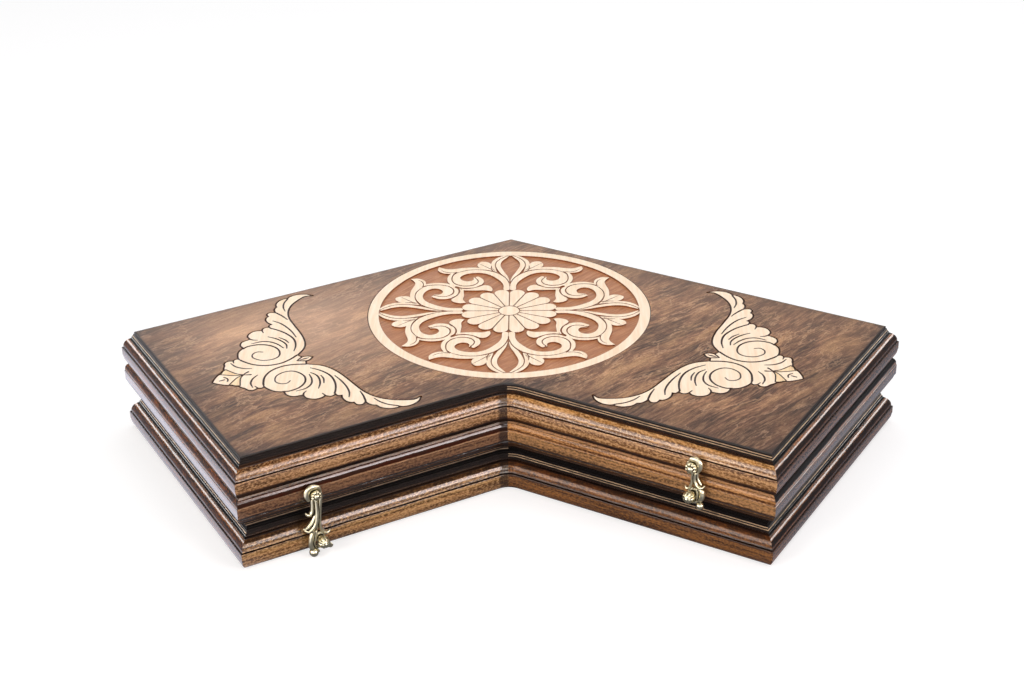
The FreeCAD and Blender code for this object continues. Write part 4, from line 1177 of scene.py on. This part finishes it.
for tray, node in (("top", "top_carved_panel"), ("middle", "middle_panel"), ("bottom", "bottom_panel")):
    back_z, sign = TRAYS[tray]
    finish = lid_ply if tray == "top" else plain_ply
    # The middle tray's steps take painted shade and dimmer painted highlights
    steps = (painted_shade_black, painted_dim_arris_highlight) if tray == "middle" else (step_stain, painted_arris_highlight)
    edge = stepped_edge("panel_edge", tray, (finish, *steps, painted_shade_black))
    if tray != "top":
        cutter_mesh = bmesh.new()
        for middle_at in hinges:
            bed_at = middle_at + inward * (BACK_LEAF_INNER - BACK_LEAF_WIDTH / 2)
            add_leaf_bed(cutter_mesh, placed(bed_at, back_z, along), BACK_LEAF_WIDTH)
        chopped_out(edge, cutter_mesh)
    layers = [edge]
    for outer, inner in PANEL_LAYERS:
        outline = np.array(notched) if outer == 0 and tray != "top" else panel_loop(EDGE_INNER)
        cuts = {0.0: lid_pockets if tray == "top" else [], VENEER_FROM: point_loops}.get(outer, [])
        low, high = sorted((back_z + sign * outer, back_z + sign * inner))
        layers.append(cut_plate("panel_layer", [outline] + cuts, low, high, finish))
    panel = joined("carved_lid_panel" if tray == "top" else f"{tray}_stepped_panel", layers)
    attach(panel, f"{tray}_tray")
    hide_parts(node)


# Playing points: long triangles of pale and of dark dyed veneer, let in flush on the inner side
# of every panel; seen when the boxes are open.
light_veneer = birch_finish("maple_veneer_points", "#e6c79a", "#cfa873", "#f0d8b2")
dark_veneer = birch_finish("smoked_oak_veneer_points", "#4a2a18", "#331a0e", "#5f3a22")
for tray in TRAYS:
    for tone, finish in (("light", light_veneer), ("dark", dark_veneer)):
        mesh = frame["nodes"][f"{tray}_points_{tone}"].data
        mesh.materials.clear()
        mesh.materials.append(finish)


# Hook clasps: cast brass, antiqued dark in the hollows and rubbed bright on the high parts. A
# scrolled stem turns on a rosette-headed screw, and its bend closes under a round-headed stud.
# Each casting is drawn as strands, which are then fused like the wax of the pattern.
CLASP_SIDES = {"left": ((-0.866025, -0.5), (0.5, -0.866025)),
               "right": ((0.866025, -0.5), (-0.5, -0.866025))}
STRAND_SIDES = 12
HOOK_STANDOFF = 2.4
HOOK_LEAN = math.tan(math.radians(4))
ROSETTE_FROM = 5.5
joints = {joint["name"]: joint for joint in frame["joints"]}


def strand(points, lift, thick):
    """Closed tube of elliptic section along (u, v, half-width) points, standing off the box;
    u runs away from the notch and v up, in millimetres from the pivot."""
    line = smooth_line(points, 5)
    way = np.gradient(line[:, :2], axis=0)
    way /= np.linalg.norm(way, axis=1)[:, None]
    ring = np.linspace(0, 2 * math.pi, STRAND_SIDES, endpoint=False)
    rows = []
    for (u, v, half), (du, dv) in zip(line, way):
        side = half * np.cos(ring)
        stand = HOOK_STANDOFF - v * HOOK_LEAN + lift + (thick * half + 0.45) * np.sin(ring)
        rows.append(np.stack([u - dv * side, v + du * side, stand], 1))
    for end in (0, -1):
        cap = rows[end].mean(0) + (rows[end] - rows[end].mean(0)) * 0.35
        cap[:, :2] += way[end] * (line[end, 2] * 0.6) * (1 if end else -1)
        rows.insert(0 if end == 0 else len(rows), cap)
    points = np.vstack(rows)
    count, around = len(rows), STRAND_SIDES
    faces = [tuple(range(around))[::-1], tuple(range((count - 1) * around, count * around))]
    for j in range(count - 1):
        for i in range(around):
            n = (i + 1) % around
            faces.append((j * around + i, j * around + n, (j + 1) * around + n, (j + 1) * around + i))
    return points, faces


def turned(profile, at, lobes=0, depth=0.0, count=40):
    """Closed shape turned from a (radius, stand-off) profile, with lobes round it if asked for."""
    angle = np.linspace(0, 2 * math.pi, count, endpoint=False)
    swell = 1 - depth * (0.5 - 0.5 * np.cos(lobes * angle))
    points = np.vstack([np.stack([at[0] + max(r, 0.01) * swell * np.cos(angle),
                                  at[1] + max(r, 0.01) * swell * np.sin(angle), np.full(count, w)], 1)
                        for r, w in profile])
    rows = len(profile)
    faces = []
    for j in range(rows):
        below = (j + 1) % rows
        for i in range(count):
            n = (i + 1) % count
            faces.append((j * count + i, j * count + n, below * count + n, below * count + i))
    return points, faces


def ball(radius, at, squash=1.0):
    """Round bead at (u, v, stand-off)."""
    steps = [math.pi * k / 12 for k in range(13)]
    return turned([(radius * math.sin(a), at[2] - radius * squash * math.cos(a)) for a in steps], at[:2])


def cast(name, hand, shells, voxel, finish):
    """Fuses closed shapes into one casting at a clasp and marks its hollows."""
    along, out = (np.array(way) for way in CLASP_SIDES[hand])
    pivot = np.array(joints[f"{hand}_hook_pivot"]["pos_m"], float) * 1000
    frame_of = np.array([[along[0], along[1], 0], [0, 0, 1], [out[0], out[1], 0]])
    points, faces, first = [], [], 0
    for shell_points, shell_faces in shells:
        points.append(shell_points)
        faces += [tuple(v + first for v in face) for face in shell_faces]
        first += len(shell_points)
    local = np.vstack(points)
    world_points = (pivot + local @ frame_of + np.array([out[0], out[1], 0]) * BAND_OFFSET) / 1000
    mesh = bpy.data.meshes.new(name)
    mesh.from_pydata([tuple(p) for p in world_points], [], faces)
    piece = object_of(name, mesh)
    fuse = piece.modifiers.new("fuse", "REMESH")
    fuse.mode = "VOXEL"
    fuse.voxel_size = voxel / 1000
    ease = piece.modifiers.new("ease", "SMOOTH")
    ease.factor, ease.iterations = 0.5, 2
    bpy.context.view_layer.update()
    done = bpy.data.meshes.new_from_object(piece.evaluated_get(bpy.context.evaluated_depsgraph_get()))
    piece.modifiers.clear()
    piece.data = done
    done.shade_smooth()
    count = len(done.vertices)
    at = np.zeros(count * 3)
    done.vertices.foreach_get("co", at)
    at = at.reshape(-1, 3) * 1000
    normal = np.array([v.normal for v in done.vertices])
    ends = np.zeros(len(done.edges) * 2, int)
    done.edges.foreach_get("vertices", ends)
    a, b = ends.reshape(-1, 2).T
    valence = np.bincount(a, minlength=count) + np.bincount(b, minlength=count)

    def spread(values):
        """Mean over the neighbours of each point."""
        total = np.zeros(values.shape)
        np.add.at(total, a, values[b])
        np.add.at(total, b, values[a])
        return total / (valence if values.ndim == 1 else valence[:, None])

    hollow = ((spread(at) - at) * normal).sum(1) * 4 / voxel ** 2
    for _ in range(6):
        hollow = 0.5 * hollow + 0.5 * spread(hollow)
    mark = done.attributes.new("hollow", "FLOAT", "POINT")
    mark.data.foreach_set("value", np.clip(hollow, -2, 2).astype(np.float32))
    done.materials.clear()
    done.materials.append(finish)
    return piece


# Antiqued brass: patina stays in the hollows, the raised parts are rubbed bright.
antique_brass = new_finish("antiqued_cast_brass")
tree = antique_brass.node_tree
place = add_node(tree, "ShaderNodeTexCoord")
hollow_in = add_node(tree, "ShaderNodeAttribute", attribute_name="hollow")
speckle = add_node(tree, "ShaderNodeTexNoise",
                   {"Vector": place.outputs["Object"], "Scale": 900.0, "Detail": 3.0})
worn = add_node(tree, "ShaderNodeMath", {0: speckle, 1: 0.3, 2: hollow_in.outputs["Fac"]},
                operation="MULTIPLY_ADD")
patina = add_node(tree, "ShaderNodeValToRGB", {0: worn},
                  stops=[(0.0, "#d6ccac"), (0.18, "#aea382"), (0.38, "#635a44"), (0.66, "#1a1711")])
dull = add_node(tree, "ShaderNodeMapRange", {0: worn, 1: 0.0, 2: 0.6, 3: 0.3, 4: 0.55})
brass = add_node(tree, "ShaderNodeBsdfPrincipled",
                 {"Base Color": patina, "Metallic": 1.0, "Roughness": dull})
add_node(tree, "ShaderNodeOutputMaterial", {0: brass})

# The strands of each hook: their points, lift off the box and thickness
HOOK_STRANDS = {
    "left": [
        ([(5.4, -3.4, 1.3), (6.5, 1.2, 2.3), (5.3, 4.6, 2.4), (2.7, 6.1, 2.4), (-0.8, 5.9, 2.1),
          (-3.4, 4.2, 1.4), (-4.4, 1.8, 0.9)], 2.1, 0.55),
        ([(-4.4, 2.0, 1.0), (-4.2, -2.6, 1.6), (-3.3, -8, 1.5), (-2.8, -14, 1.1), (-2.2, -20, 0.9),
          (-1.9, -26, 0.9), (-2.6, -29.8, 1.3), (-4.8, -32.8, 1.5), (-7.2, -33.2, 1.1), (-8.8, -31.8, 0.6)],
         1.6, 0.8),
        ([(0.0, -4.5, 1.4), (-0.1, -8.2, 1.4), (0.0, -13.6, 1.5), (0.6, -18.4, 1.8), (2.0, -23.0, 2.0),
          (4.8, -26.6, 1.9), (8.0, -27.9, 1.5), (10.6, -26.4, 0.7)], 2.3, 0.9),
        ([(2.6, -3.6, 1.3), (2.9, -9.2, 1.2), (3.6, -13.2, 1.3), (5.5, -15.3, 1.4), (7.5, -14.8, 1.1),
          (8.4, -13.2, 0.7)], 1.5, 0.9),
        ([(1.4, -16.5, 0.9), (3.4, -20.6, 1.6), (6.2, -23.8, 1.9), (9.2, -25.4, 1.3), (11.4, -25.2, 0.6)],
         1.8, 0.7),
        ([(4.4, -28.6, 1.5), (6.2, -33.8, 2.0), (7.1, -38.6, 1.9), (6.1, -42.6, 1.9), (3.6, -45.6, 1.1)],
         2.0, 0.9),
        ([(2.0, -29.2, 1.1), (3.3, -34.2, 1.1), (4.6, -38.9, 1.0), (3.7, -42.6, 0.9), (1.4, -46.4, 0.9)],
         2.2, 0.8),
        ([(0.0, -4, 3.4), (-0.9, -14, 2.0), (-0.5, -24, 2.2), (3.0, -30, 2.4), (5.4, -40, 2.4)], 0.5, 0.02),
        ([(4.6, -43.4, 1.5), (0.5, -43.6, 1.4), (-3.8, -43.2, 1.1)], 0.6, 0.2)],
    "right": [
        ([(-2.6, 4.9, 1.1), (-0.2, 6.3, 2.0), (3.2, 6.4, 2.4), (5.6, 3.9, 2.4), (6.0, 0.6, 2.0),
          (4.9, -2.4, 1.1)], 2.1, 0.55),
        ([(0.4, -4.2, 1.0), (0.3, -9, 0.9), (0.2, -12.8, 1.0), (-1.0, -16.8, 1.2), (-3.0, -18, 1.0),
          (-4.8, -16.4, 0.5)], 1.5, 0.9),
        ([(3.0, -3.8, 1.1), (2.7, -8.8, 1.2), (4.2, -12.8, 1.3), (7.0, -14.5, 1.3), (9.4, -13.9, 0.9),
          (10.7, -12.2, 0.5)], 2.2, 0.9),
        ([(4.4, -3.2, 1.0), (4.7, -7.2, 0.9), (6.2, -10.4, 0.9), (7.9, -12.4, 0.8)], 1.5, 0.9),
        ([(6.0, -15.2, 1.3), (8.7, -17.0, 1.9), (9.3, -20.2, 2.2), (8.3, -24, 1.9), (6.9, -26.8, 1.1)],
         2.0, 0.9),
        ([(4.6, -16.0, 1.1), (5.8, -20, 1.1), (5.4, -24.6, 1.0)], 2.0, 0.8),
        ([(1.2, -4, 2.6), (1.2, -10, 1.3), (3.8, -15, 2.2), (7.0, -21, 2.2)], 0.5, 0.02),
        ([(6.2, -27.2, 1.4), (3.2, -28, 1.3), (-0.8, -27.8, 1.1)], 0.6, 0.2)],
}

# Radii of the eye and of the rosette; the hook's end ball as (u, v, stand-off, radius); the catch
# as the post's (u, v), then the knob's (u, v, stand-off, radius) and its flattened back
CLASP_EYE = {"left": 5.6, "right": 5.3}
ROSETTE_R = {"left": 4.3, "right": 4.7}
ROSETTE_BEADS = 8
END_BALL = {"left": (5.5, -45.7, 8.2, 3.5), "right": (8.3, -28.6, 7.0, 3.0)}
CATCH = {"left": (-3.0, -39.09, -2.1, -38.7, 9.5, 4.8, 6.9),
         "right": (-0.4, -23.4, 0.1, -22.8, 8.5, 4.8, 6.1)}
FLARE = {"left": [(-3.2, -42.4, 2.9), (-5.8, -44.0, 3.0), (-8.4, -44.4, 2.3)],
         "right": [(0.2, -25.0, 2.2), (1.4, -26.4, 2.0), (2.6, -27.2, 1.4)]}
voxel = 0.27
for hand in CLASP_SIDES:
    eye = CLASP_EYE[hand]
    shells = [strand(points, lift, thick) for points, lift, thick in HOOK_STRANDS[hand]]
    eye_ring = [(2.3, 2.5), (eye - 0.4, 2.5), (eye, 2.9), (eye, 4.2), (eye - 0.4, 4.6), (2.3, 4.6)]
    shells.append(turned(eye_ring, (0, 0)))
    u, v, w, r = END_BALL[hand]
    shells.append(ball(r, (u, v, w)))
    hook = cast(f"{hand}_cast_hook", hand, shells, voxel, antique_brass)
    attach(hook, f"{hand}_hook")
    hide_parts(f"{hand}_hook")

    w, r = ROSETTE_FROM, ROSETTE_R[hand]
    shells = [turned([(0, w), (r - 0.6, w), (r - 0.1, w + 0.5), (r - 0.5, w + 1.3), (0, w + 1.8)], (0, 0)),
              turned([(0, -5), (1.6, -5), (1.6, w + 1), (0, w + 1)], (0, 0), count=24),
              ball(r * 0.5, (0, 0, w + 2.5), 0.8)]
    for k in range(ROSETTE_BEADS):
        turn = 2 * math.pi * (k + 0.5) / ROSETTE_BEADS
        shells.append(ball(r * 0.3, (r * 0.68 * math.cos(turn), r * 0.68 * math.sin(turn), w + 1.35)))
    rosette = cast(f"{hand}_rosette_screw", hand, shells, voxel, antique_brass)
    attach(rosette, "middle_tray" if hand == "left" else "top_tray")
    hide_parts(f"{hand}_hook_pivot_screw")

    post_u, post_v, u, v, w, r, back = CATCH[hand]
    turns = [math.pi * k / 16 for k in range(17)]
    globe = [(r * math.sin(a), max(w - r * math.cos(a), back)) for a in turns]
    washer = [(0, -0.2), (4.0, -0.2), (4.3, 0.5), (4.0, 1.2), (2.8, 1.6), (0, 1.7)]
    shells = [turned(globe, (u, v), lobes=10, depth=0.07, count=80),
              turned([(0, -3), (1.95, -3), (1.95, w), (0, w)], (post_u, post_v), count=24),
              turned(washer, (post_u, post_v)),
              ball(1.0, (u, v, w + r - 0.6))]
    for count, ring_r, bead, drop in ((6, 2.0, 0.7, 0.95), (10, 3.4, 0.75, 2.25)):
        for k in range(count):
            turn = 2 * math.pi * k / count
            bead_at = (u + ring_r * math.cos(turn), v + ring_r * math.sin(turn), w + r - drop)
            shells.append(ball(bead, bead_at))
    flare = strand(FLARE[hand], 0.0, 0.05)
    reach = np.linspace(1.6, w - 1.0, len(flare[0]) // STRAND_SIDES).repeat(STRAND_SIDES)
    flare[0][:, 2] += reach - HOOK_STANDOFF + flare[0][:, 1] * HOOK_LEAN
    shells.append(flare)
    catch = cast(f"{hand}_catch_knob", hand, shells, voxel, antique_brass)
    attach(catch, "bottom_tray" if hand == "left" else "middle_tray")
    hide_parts(f"{hand}_catch_stud")


# Hinges: brass butt hinges, two on each folding edge, their leaves let in flush and fixed with
# three countersunk slotted screws each. The knuckles turn on a riveted pin. The brass is drawn
# sheet, satin from the rolls, a little tarnished.
hinge_brass = new_finish("drawn_sheet_brass")
tree = hinge_brass.node_tree
place = add_node(tree, "ShaderNodeTexCoord")
rolled = add_node(tree, "ShaderNodeMapping", {"Vector": place.outputs["Object"], "Scale": (90, 90, 90)})
tarnish = add_node(tree, "ShaderNodeTexNoise", {"Vector": rolled, "Scale": 1.0, "Detail": 6.0})
fine = add_node(tree, "ShaderNodeTexNoise",
                {"Vector": place.outputs["Object"], "Scale": 2400.0, "Detail": 1.0})
tone = add_node(tree, "ShaderNodeValToRGB", {0: tarnish},
                stops=[(0.3, "#8a6a36"), (0.5, "#c8a45e"), (0.7, "#dcbc7a")])
satin = add_node(tree, "ShaderNodeMapRange", {0: tarnish, 3: 0.42, 4: 0.2})
scored = add_node(tree, "ShaderNodeBump", {"Strength": 0.12, "Distance": 0.00005, "Height": fine})
sheet = add_node(tree, "ShaderNodeBsdfPrincipled",
                 {"Base Color": tone, "Metallic": 1.0, "Roughness": satin, "Normal": scored})
add_node(tree, "ShaderNodeOutputMaterial", {0: sheet})

SCREWS_FROM_MIDDLE = (-17.0, 0.0, 17.0)
HEAD_R = 2.6
HEAD_DEPTH = 1.0
SHANK_R = 1.2
HEAD_SUNK = 0.08
SINK_DEPTH = 2.4
LID_JOINT_Z = 2 * TRAY_HEIGHT
BASE_JOINT_Z = TRAY_HEIGHT
screw_places = {"middle_tray": [], "top_tray": [], "bottom_tray": []}
for node, body, side, face_z, into, screw_y in (
        ("lid_hinge_lower_leaves", "middle_tray", 2, LID_JOINT_Z, -1, 0.4),
        ("lid_hinge_upper_leaves", "top_tray", 2, LID_JOINT_Z, 1, 0.4),
        ("base_hinge_upper_leaves", "middle_tray", 3, BASE_JOINT_Z, 1, 4.6),
        ("base_hinge_lower_leaves", "bottom_tray", 3, BASE_JOINT_Z, -1, 4.6)):
    leaf_mesh = bmesh.new()
    leaf_mesh.from_mesh(frame["nodes"][node].data)
    bmesh.ops.transform(leaf_mesh, matrix=frame["nodes"][node].matrix_world, verts=leaf_mesh.verts)
    bmesh.ops.remove_doubles(leaf_mesh, verts=leaf_mesh.verts, dist=1e-6)
    leaves = object_of(f"{node}_drilled", mesh_from(f"{node}_drilled", leaf_mesh))
    leaves.data.materials.clear()
    leaves.data.materials.append(hinge_brass)
    hinges, along, inward = hinge_places(side)
    drill = bmesh.new()
    for middle_at in hinges:
        for s in SCREWS_FROM_MIDDLE:
            spot = middle_at + along * s + inward * screw_y
            screw_places[body].append((spot.x / 1000, spot.y / 1000, face_z / 1000, into))
            sink = Matrix.Translation((spot.x / 1000, spot.y / 1000, (face_z + into * 0.5) / 1000))
            wide, narrow = (HEAD_R + 0.9) / 1000, (HEAD_R - 1.1) / 1000
            below, above = (wide, narrow) if into > 0 else (narrow, wide)
            bmesh.ops.create_cone(drill, cap_ends=True, segments=36, radius1=below, radius2=above,
                                  depth=SINK_DEPTH / 1000, matrix=sink)
    chopped_out(leaves, drill)
    shade_by_angle(leaves.data)
    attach(leaves, body)
    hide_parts(node)
for node in ("lid_hinge_pins", "base_hinge_pins"):
    pin_mesh = frame["nodes"][node].data
    pin_mesh.materials.clear()
    pin_mesh.materials.append(hinge_brass)

# One screw is turned and slotted, then set at every hole by the tree, its slot as it came to rest.
screw_tree = bpy.data.node_groups.new("screws_in_leaves", "GeometryNodeTree")
face = screw_tree.interface
face.new_socket("Screw", in_out="INPUT", socket_type="NodeSocketGeometry")
holes_in = face.new_socket("Holes", in_out="INPUT", socket_type="NodeSocketObject")
seed_in = face.new_socket("Seed", in_out="INPUT", socket_type="NodeSocketInt")
metal_in = face.new_socket("Metal", in_out="INPUT", socket_type="NodeSocketMaterial")
face.new_socket("Screws", in_out="OUTPUT", socket_type="NodeSocketGeometry")
given = add_node(screw_tree, "NodeGroupInput")
holes = add_node(screw_tree, "GeometryNodeObjectInfo", {"Object": given.outputs["Holes"]})
upward = add_node(screw_tree, "GeometryNodeInputNamedAttribute", {"Name": "flip"}, data_type="FLOAT")
tip = add_node(screw_tree, "ShaderNodeMath", {0: upward, 1: math.pi}, operation="MULTIPLY")
rest = add_node(screw_tree, "FunctionNodeRandomValue", {2: 0.0, 3: math.pi, "Seed": given.outputs["Seed"]},
                data_type="FLOAT")
stand = add_node(screw_tree, "ShaderNodeCombineXYZ", {0: tip, 2: rest})
copies = add_node(screw_tree, "GeometryNodeInstanceOnPoints",
                  {"Points": holes.outputs["Geometry"], "Instance": given.outputs["Screw"],
                   "Rotation": stand})
whole = add_node(screw_tree, "GeometryNodeRealizeInstances", {0: copies})
coated = add_node(screw_tree, "GeometryNodeSetMaterial",
                  {"Geometry": whole, "Material": given.outputs["Metal"]})
add_node(screw_tree, "NodeGroupOutput", {0: coated})

screw_profile = [(0, -HEAD_SUNK), (HEAD_R, -HEAD_SUNK), (HEAD_R, -HEAD_SUNK - 0.1),
                 (SHANK_R, -HEAD_DEPTH - HEAD_SUNK), (SHANK_R, -6), (0.1, -9)]
SLOT_SIZE = (0.007, 0.0006, 0.001)
FIRST_SEED = 11
for number, (body, places) in enumerate(screw_places.items()):
    points, faces = turned(screw_profile, (0, 0), count=28)
    mesh = bpy.data.meshes.new(f"{body}_hinge_screws")
    mesh.from_pydata([tuple(p / 1000) for p in points], [], faces)
    faced_out(mesh, weld=5e-5)
    screws = object_of(f"{body}_hinge_screws", mesh)
    slot_cut = bmesh.new()
    bmesh.ops.create_cube(slot_cut, size=1.0, matrix=Matrix.Diagonal((*SLOT_SIZE, 1)))
    chopped_out(screws, slot_cut)
    hole_mesh = bpy.data.meshes.new("holes")
    hole_mesh.from_pydata([place[:3] for place in places], [], [])
    flip = hole_mesh.attributes.new("flip", "FLOAT", "POINT")
    flip.data.foreach_set("value", [1.0 if place[3] > 0 else 0.0 for place in places])
    hole_points = object_of("holes", hole_mesh)
    grown(screws, screw_tree, [(holes_in, hole_points), (seed_in, FIRST_SEED + number),
                               (metal_in, hinge_brass)])
    bpy.data.objects.remove(hole_points)
    shade_by_angle(screws.data)
    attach(screws, body)


# Studio: a matt white table under two softboxes, with a fill lamp in front and a white ceiling.
# The room that the lacquer mirrors is dim but for one low bright band, stronger on the left.
floor_mesh = bpy.data.meshes.new("table_top")
floor_mesh.from_pydata([(-6, -6, 0), (6, -6, 0), (6, 6, 0), (-6, 6, 0)], [], [(0, 1, 2, 3)])
floor = object_of("table_top", floor_mesh)
paper = new_finish("matt_white_table")
tree = paper.node_tree
seen = add_node(tree, "ShaderNodeLightPath")
white = add_node(tree, "ShaderNodeBsdfDiffuse", {"Color": linear_colour("#ffffff", 0.5)})
glow_share = add_node(tree, "ShaderNodeMath", {0: seen.outputs["Is Camera Ray"], 1: 0.58},
                      operation="MULTIPLY")
glow = add_node(tree, "ShaderNodeEmission", {"Strength": glow_share})

# What the lacquer mirrors of the table: dim beside the case, lighter past its ends
spot = add_node(tree, "ShaderNodeTexCoord")
lie = add_node(tree, "ShaderNodeSeparateXYZ", {0: spot.outputs["Object"]})
outward = add_node(tree, "ShaderNodeMath", {0: lie.outputs["X"]}, operation="ABSOLUTE")
sideways = add_node(tree, "ShaderNodeMath", {0: outward, 1: 0.866}, operation="MULTIPLY")
beyond = add_node(tree, "ShaderNodeMath", {0: lie.outputs["Y"], 1: -0.5, 2: sideways},
                  operation="MULTIPLY_ADD")
past_end = add_node(tree, "ShaderNodeMapRange", {0: beyond, 1: 0.235, 2: 0.275})
which = add_node(tree, "ShaderNodeMapRange", {0: lie.outputs["X"], 1: -0.2, 2: 0.2, 3: 1.6, 4: 0.28})
lit = add_node(tree, "ShaderNodeMath", {0: past_end, 1: which, 2: 0.25}, operation="MULTIPLY_ADD")
dimmed = add_node(tree, "ShaderNodeEmission", {"Color": linear_colour("#e4e6f4"), "Strength": lit})
lying = add_node(tree, "ShaderNodeMixShader", {0: seen.outputs["Is Glossy Ray"], 1: white, 2: dimmed})
both = add_node(tree, "ShaderNodeAddShader", {0: lying, 1: glow})
add_node(tree, "ShaderNodeOutputMaterial", {0: both})
floor_mesh.materials.append(paper)

world = bpy.data.worlds.new("white_room")
bpy.context.scene.world = world
world.use_nodes = True
sky = world.node_tree
sky.nodes.clear()
path = add_node(sky, "ShaderNodeLightPath")
way = add_node(sky, "ShaderNodeTexCoord")
height = add_node(sky, "ShaderNodeSeparateXYZ", {0: way.outputs["Generated"]})
dimming = add_node(sky, "ShaderNodeValToRGB", {0: height.outputs["Z"]},
                   stops=[(0.0, "#323232"), (0.16, "#1c1c1c"), (0.19, "#ffffff"), (0.27, "#ffffff"),
                          (0.3, "#222222"), (0.37, "#5c5c5c"), (0.44, "#5c5c5c"), (0.52, "#2c2c2c")])
leftward = add_node(sky, "ShaderNodeMapRange", {0: height.outputs["X"], 1: -0.2, 2: 0.1, 3: 13.0, 4: 6.5})
behind = add_node(sky, "ShaderNodeMath", {0: height.outputs["Y"], 1: 0.7}, operation="GREATER_THAN")
power = add_node(sky, "ShaderNodeMix", {0: behind, 2: 8.0, 3: leftward})
gleam = add_node(sky, "ShaderNodeMath", {0: dimming, 1: power}, operation="MULTIPLY")
plain = add_node(sky, "ShaderNodeBackground", {"Color": (0.6, 0.62, 0.65, 1), "Strength": 0.55})
mirrored = add_node(sky, "ShaderNodeBackground", {"Color": (1, 1, 1, 1), "Strength": gleam})
shown = add_node(sky, "ShaderNodeBackground", {"Color": (1, 1, 1, 1), "Strength": 1.0})
first = add_node(sky, "ShaderNodeMixShader", {0: path.outputs["Is Glossy Ray"], 1: plain, 2: mirrored})
clear = add_node(sky, "ShaderNodeMath",
                 {0: path.outputs["Is Camera Ray"], 1: path.outputs["Is Transmission Ray"]},
                 operation="MAXIMUM")
second = add_node(sky, "ShaderNodeMixShader", {0: clear, 1: first, 2: shown})
add_node(sky, "ShaderNodeOutputWorld", {0: second})


def window(name, place, aim, size, power, tint):
    """Rectangular lamp aimed at a point."""
    data = bpy.data.lights.new(name, "AREA")
    data.shape = "RECTANGLE"
    data.size, data.size_y = size
    data.energy = power
    data.color = linear_colour(tint)[:3]
    lamp = object_of(name, data)
    lamp.location = place
    lamp.rotation_mode = "QUATERNION"
    lamp.rotation_quaternion = (Vector(aim) - Vector(place)).to_track_quat("-Z", "Y")


window("left_softbox", (-1.6, -1.5, 0.95), (0, 0, 0.1), (0.9, 1.0), 32, "#fff4ec")
window("right_softbox", (1.75, -1.35, 0.95), (0, 0, 0.1), (0.85, 0.9), 27, "#fff0ee")
window("front_fill", (0.0, -2.3, 1.9), (0, 0, 0.05), (2.2, 0.6), 14, "#ffffff")
window("ceiling_bounce", (0.3, 0.6, 2.4), (0, 0, 0), (2.4, 2.0), 26, "#ffffff")


# Camera at the photo's viewpoint, solved from the outlines of the panel and the medallion: in
# front of the notch and above it, looking down on the case through a 64 mm lens.
PHOTO_WIDTH = 1024
FOCAL_PIXELS = 1830.21
SENSOR_WIDTH = 36.0
CAMERA_AT = Vector((0.02589, -1.28661, 0.75548))
YAW, PITCH, ROLL = math.radians(-1.031), math.radians(27.579), math.radians(-0.9017)
forward = Vector((math.sin(YAW) * math.cos(PITCH), math.cos(YAW) * math.cos(PITCH), -math.sin(PITCH)))
level = Vector((math.cos(YAW), -math.sin(YAW), 0))
upward = level.cross(forward)
right_way = level * math.cos(ROLL) + upward * math.sin(ROLL)
up_way = -level * math.sin(ROLL) + upward * math.cos(ROLL)
lens = bpy.data.cameras.new("camera")
lens.sensor_width = SENSOR_WIDTH
lens.lens = FOCAL_PIXELS / PHOTO_WIDTH * SENSOR_WIDTH
lens.clip_start, lens.clip_end = 0.05, 50
camera = object_of("camera", lens)
turn = Matrix([right_way, up_way, -forward]).transposed()
camera.matrix_world = Matrix.Translation(CAMERA_AT) @ turn.to_4x4()
bpy.context.scene.camera = camera
bpy.context.scene.view_settings.view_transform = "Standard"
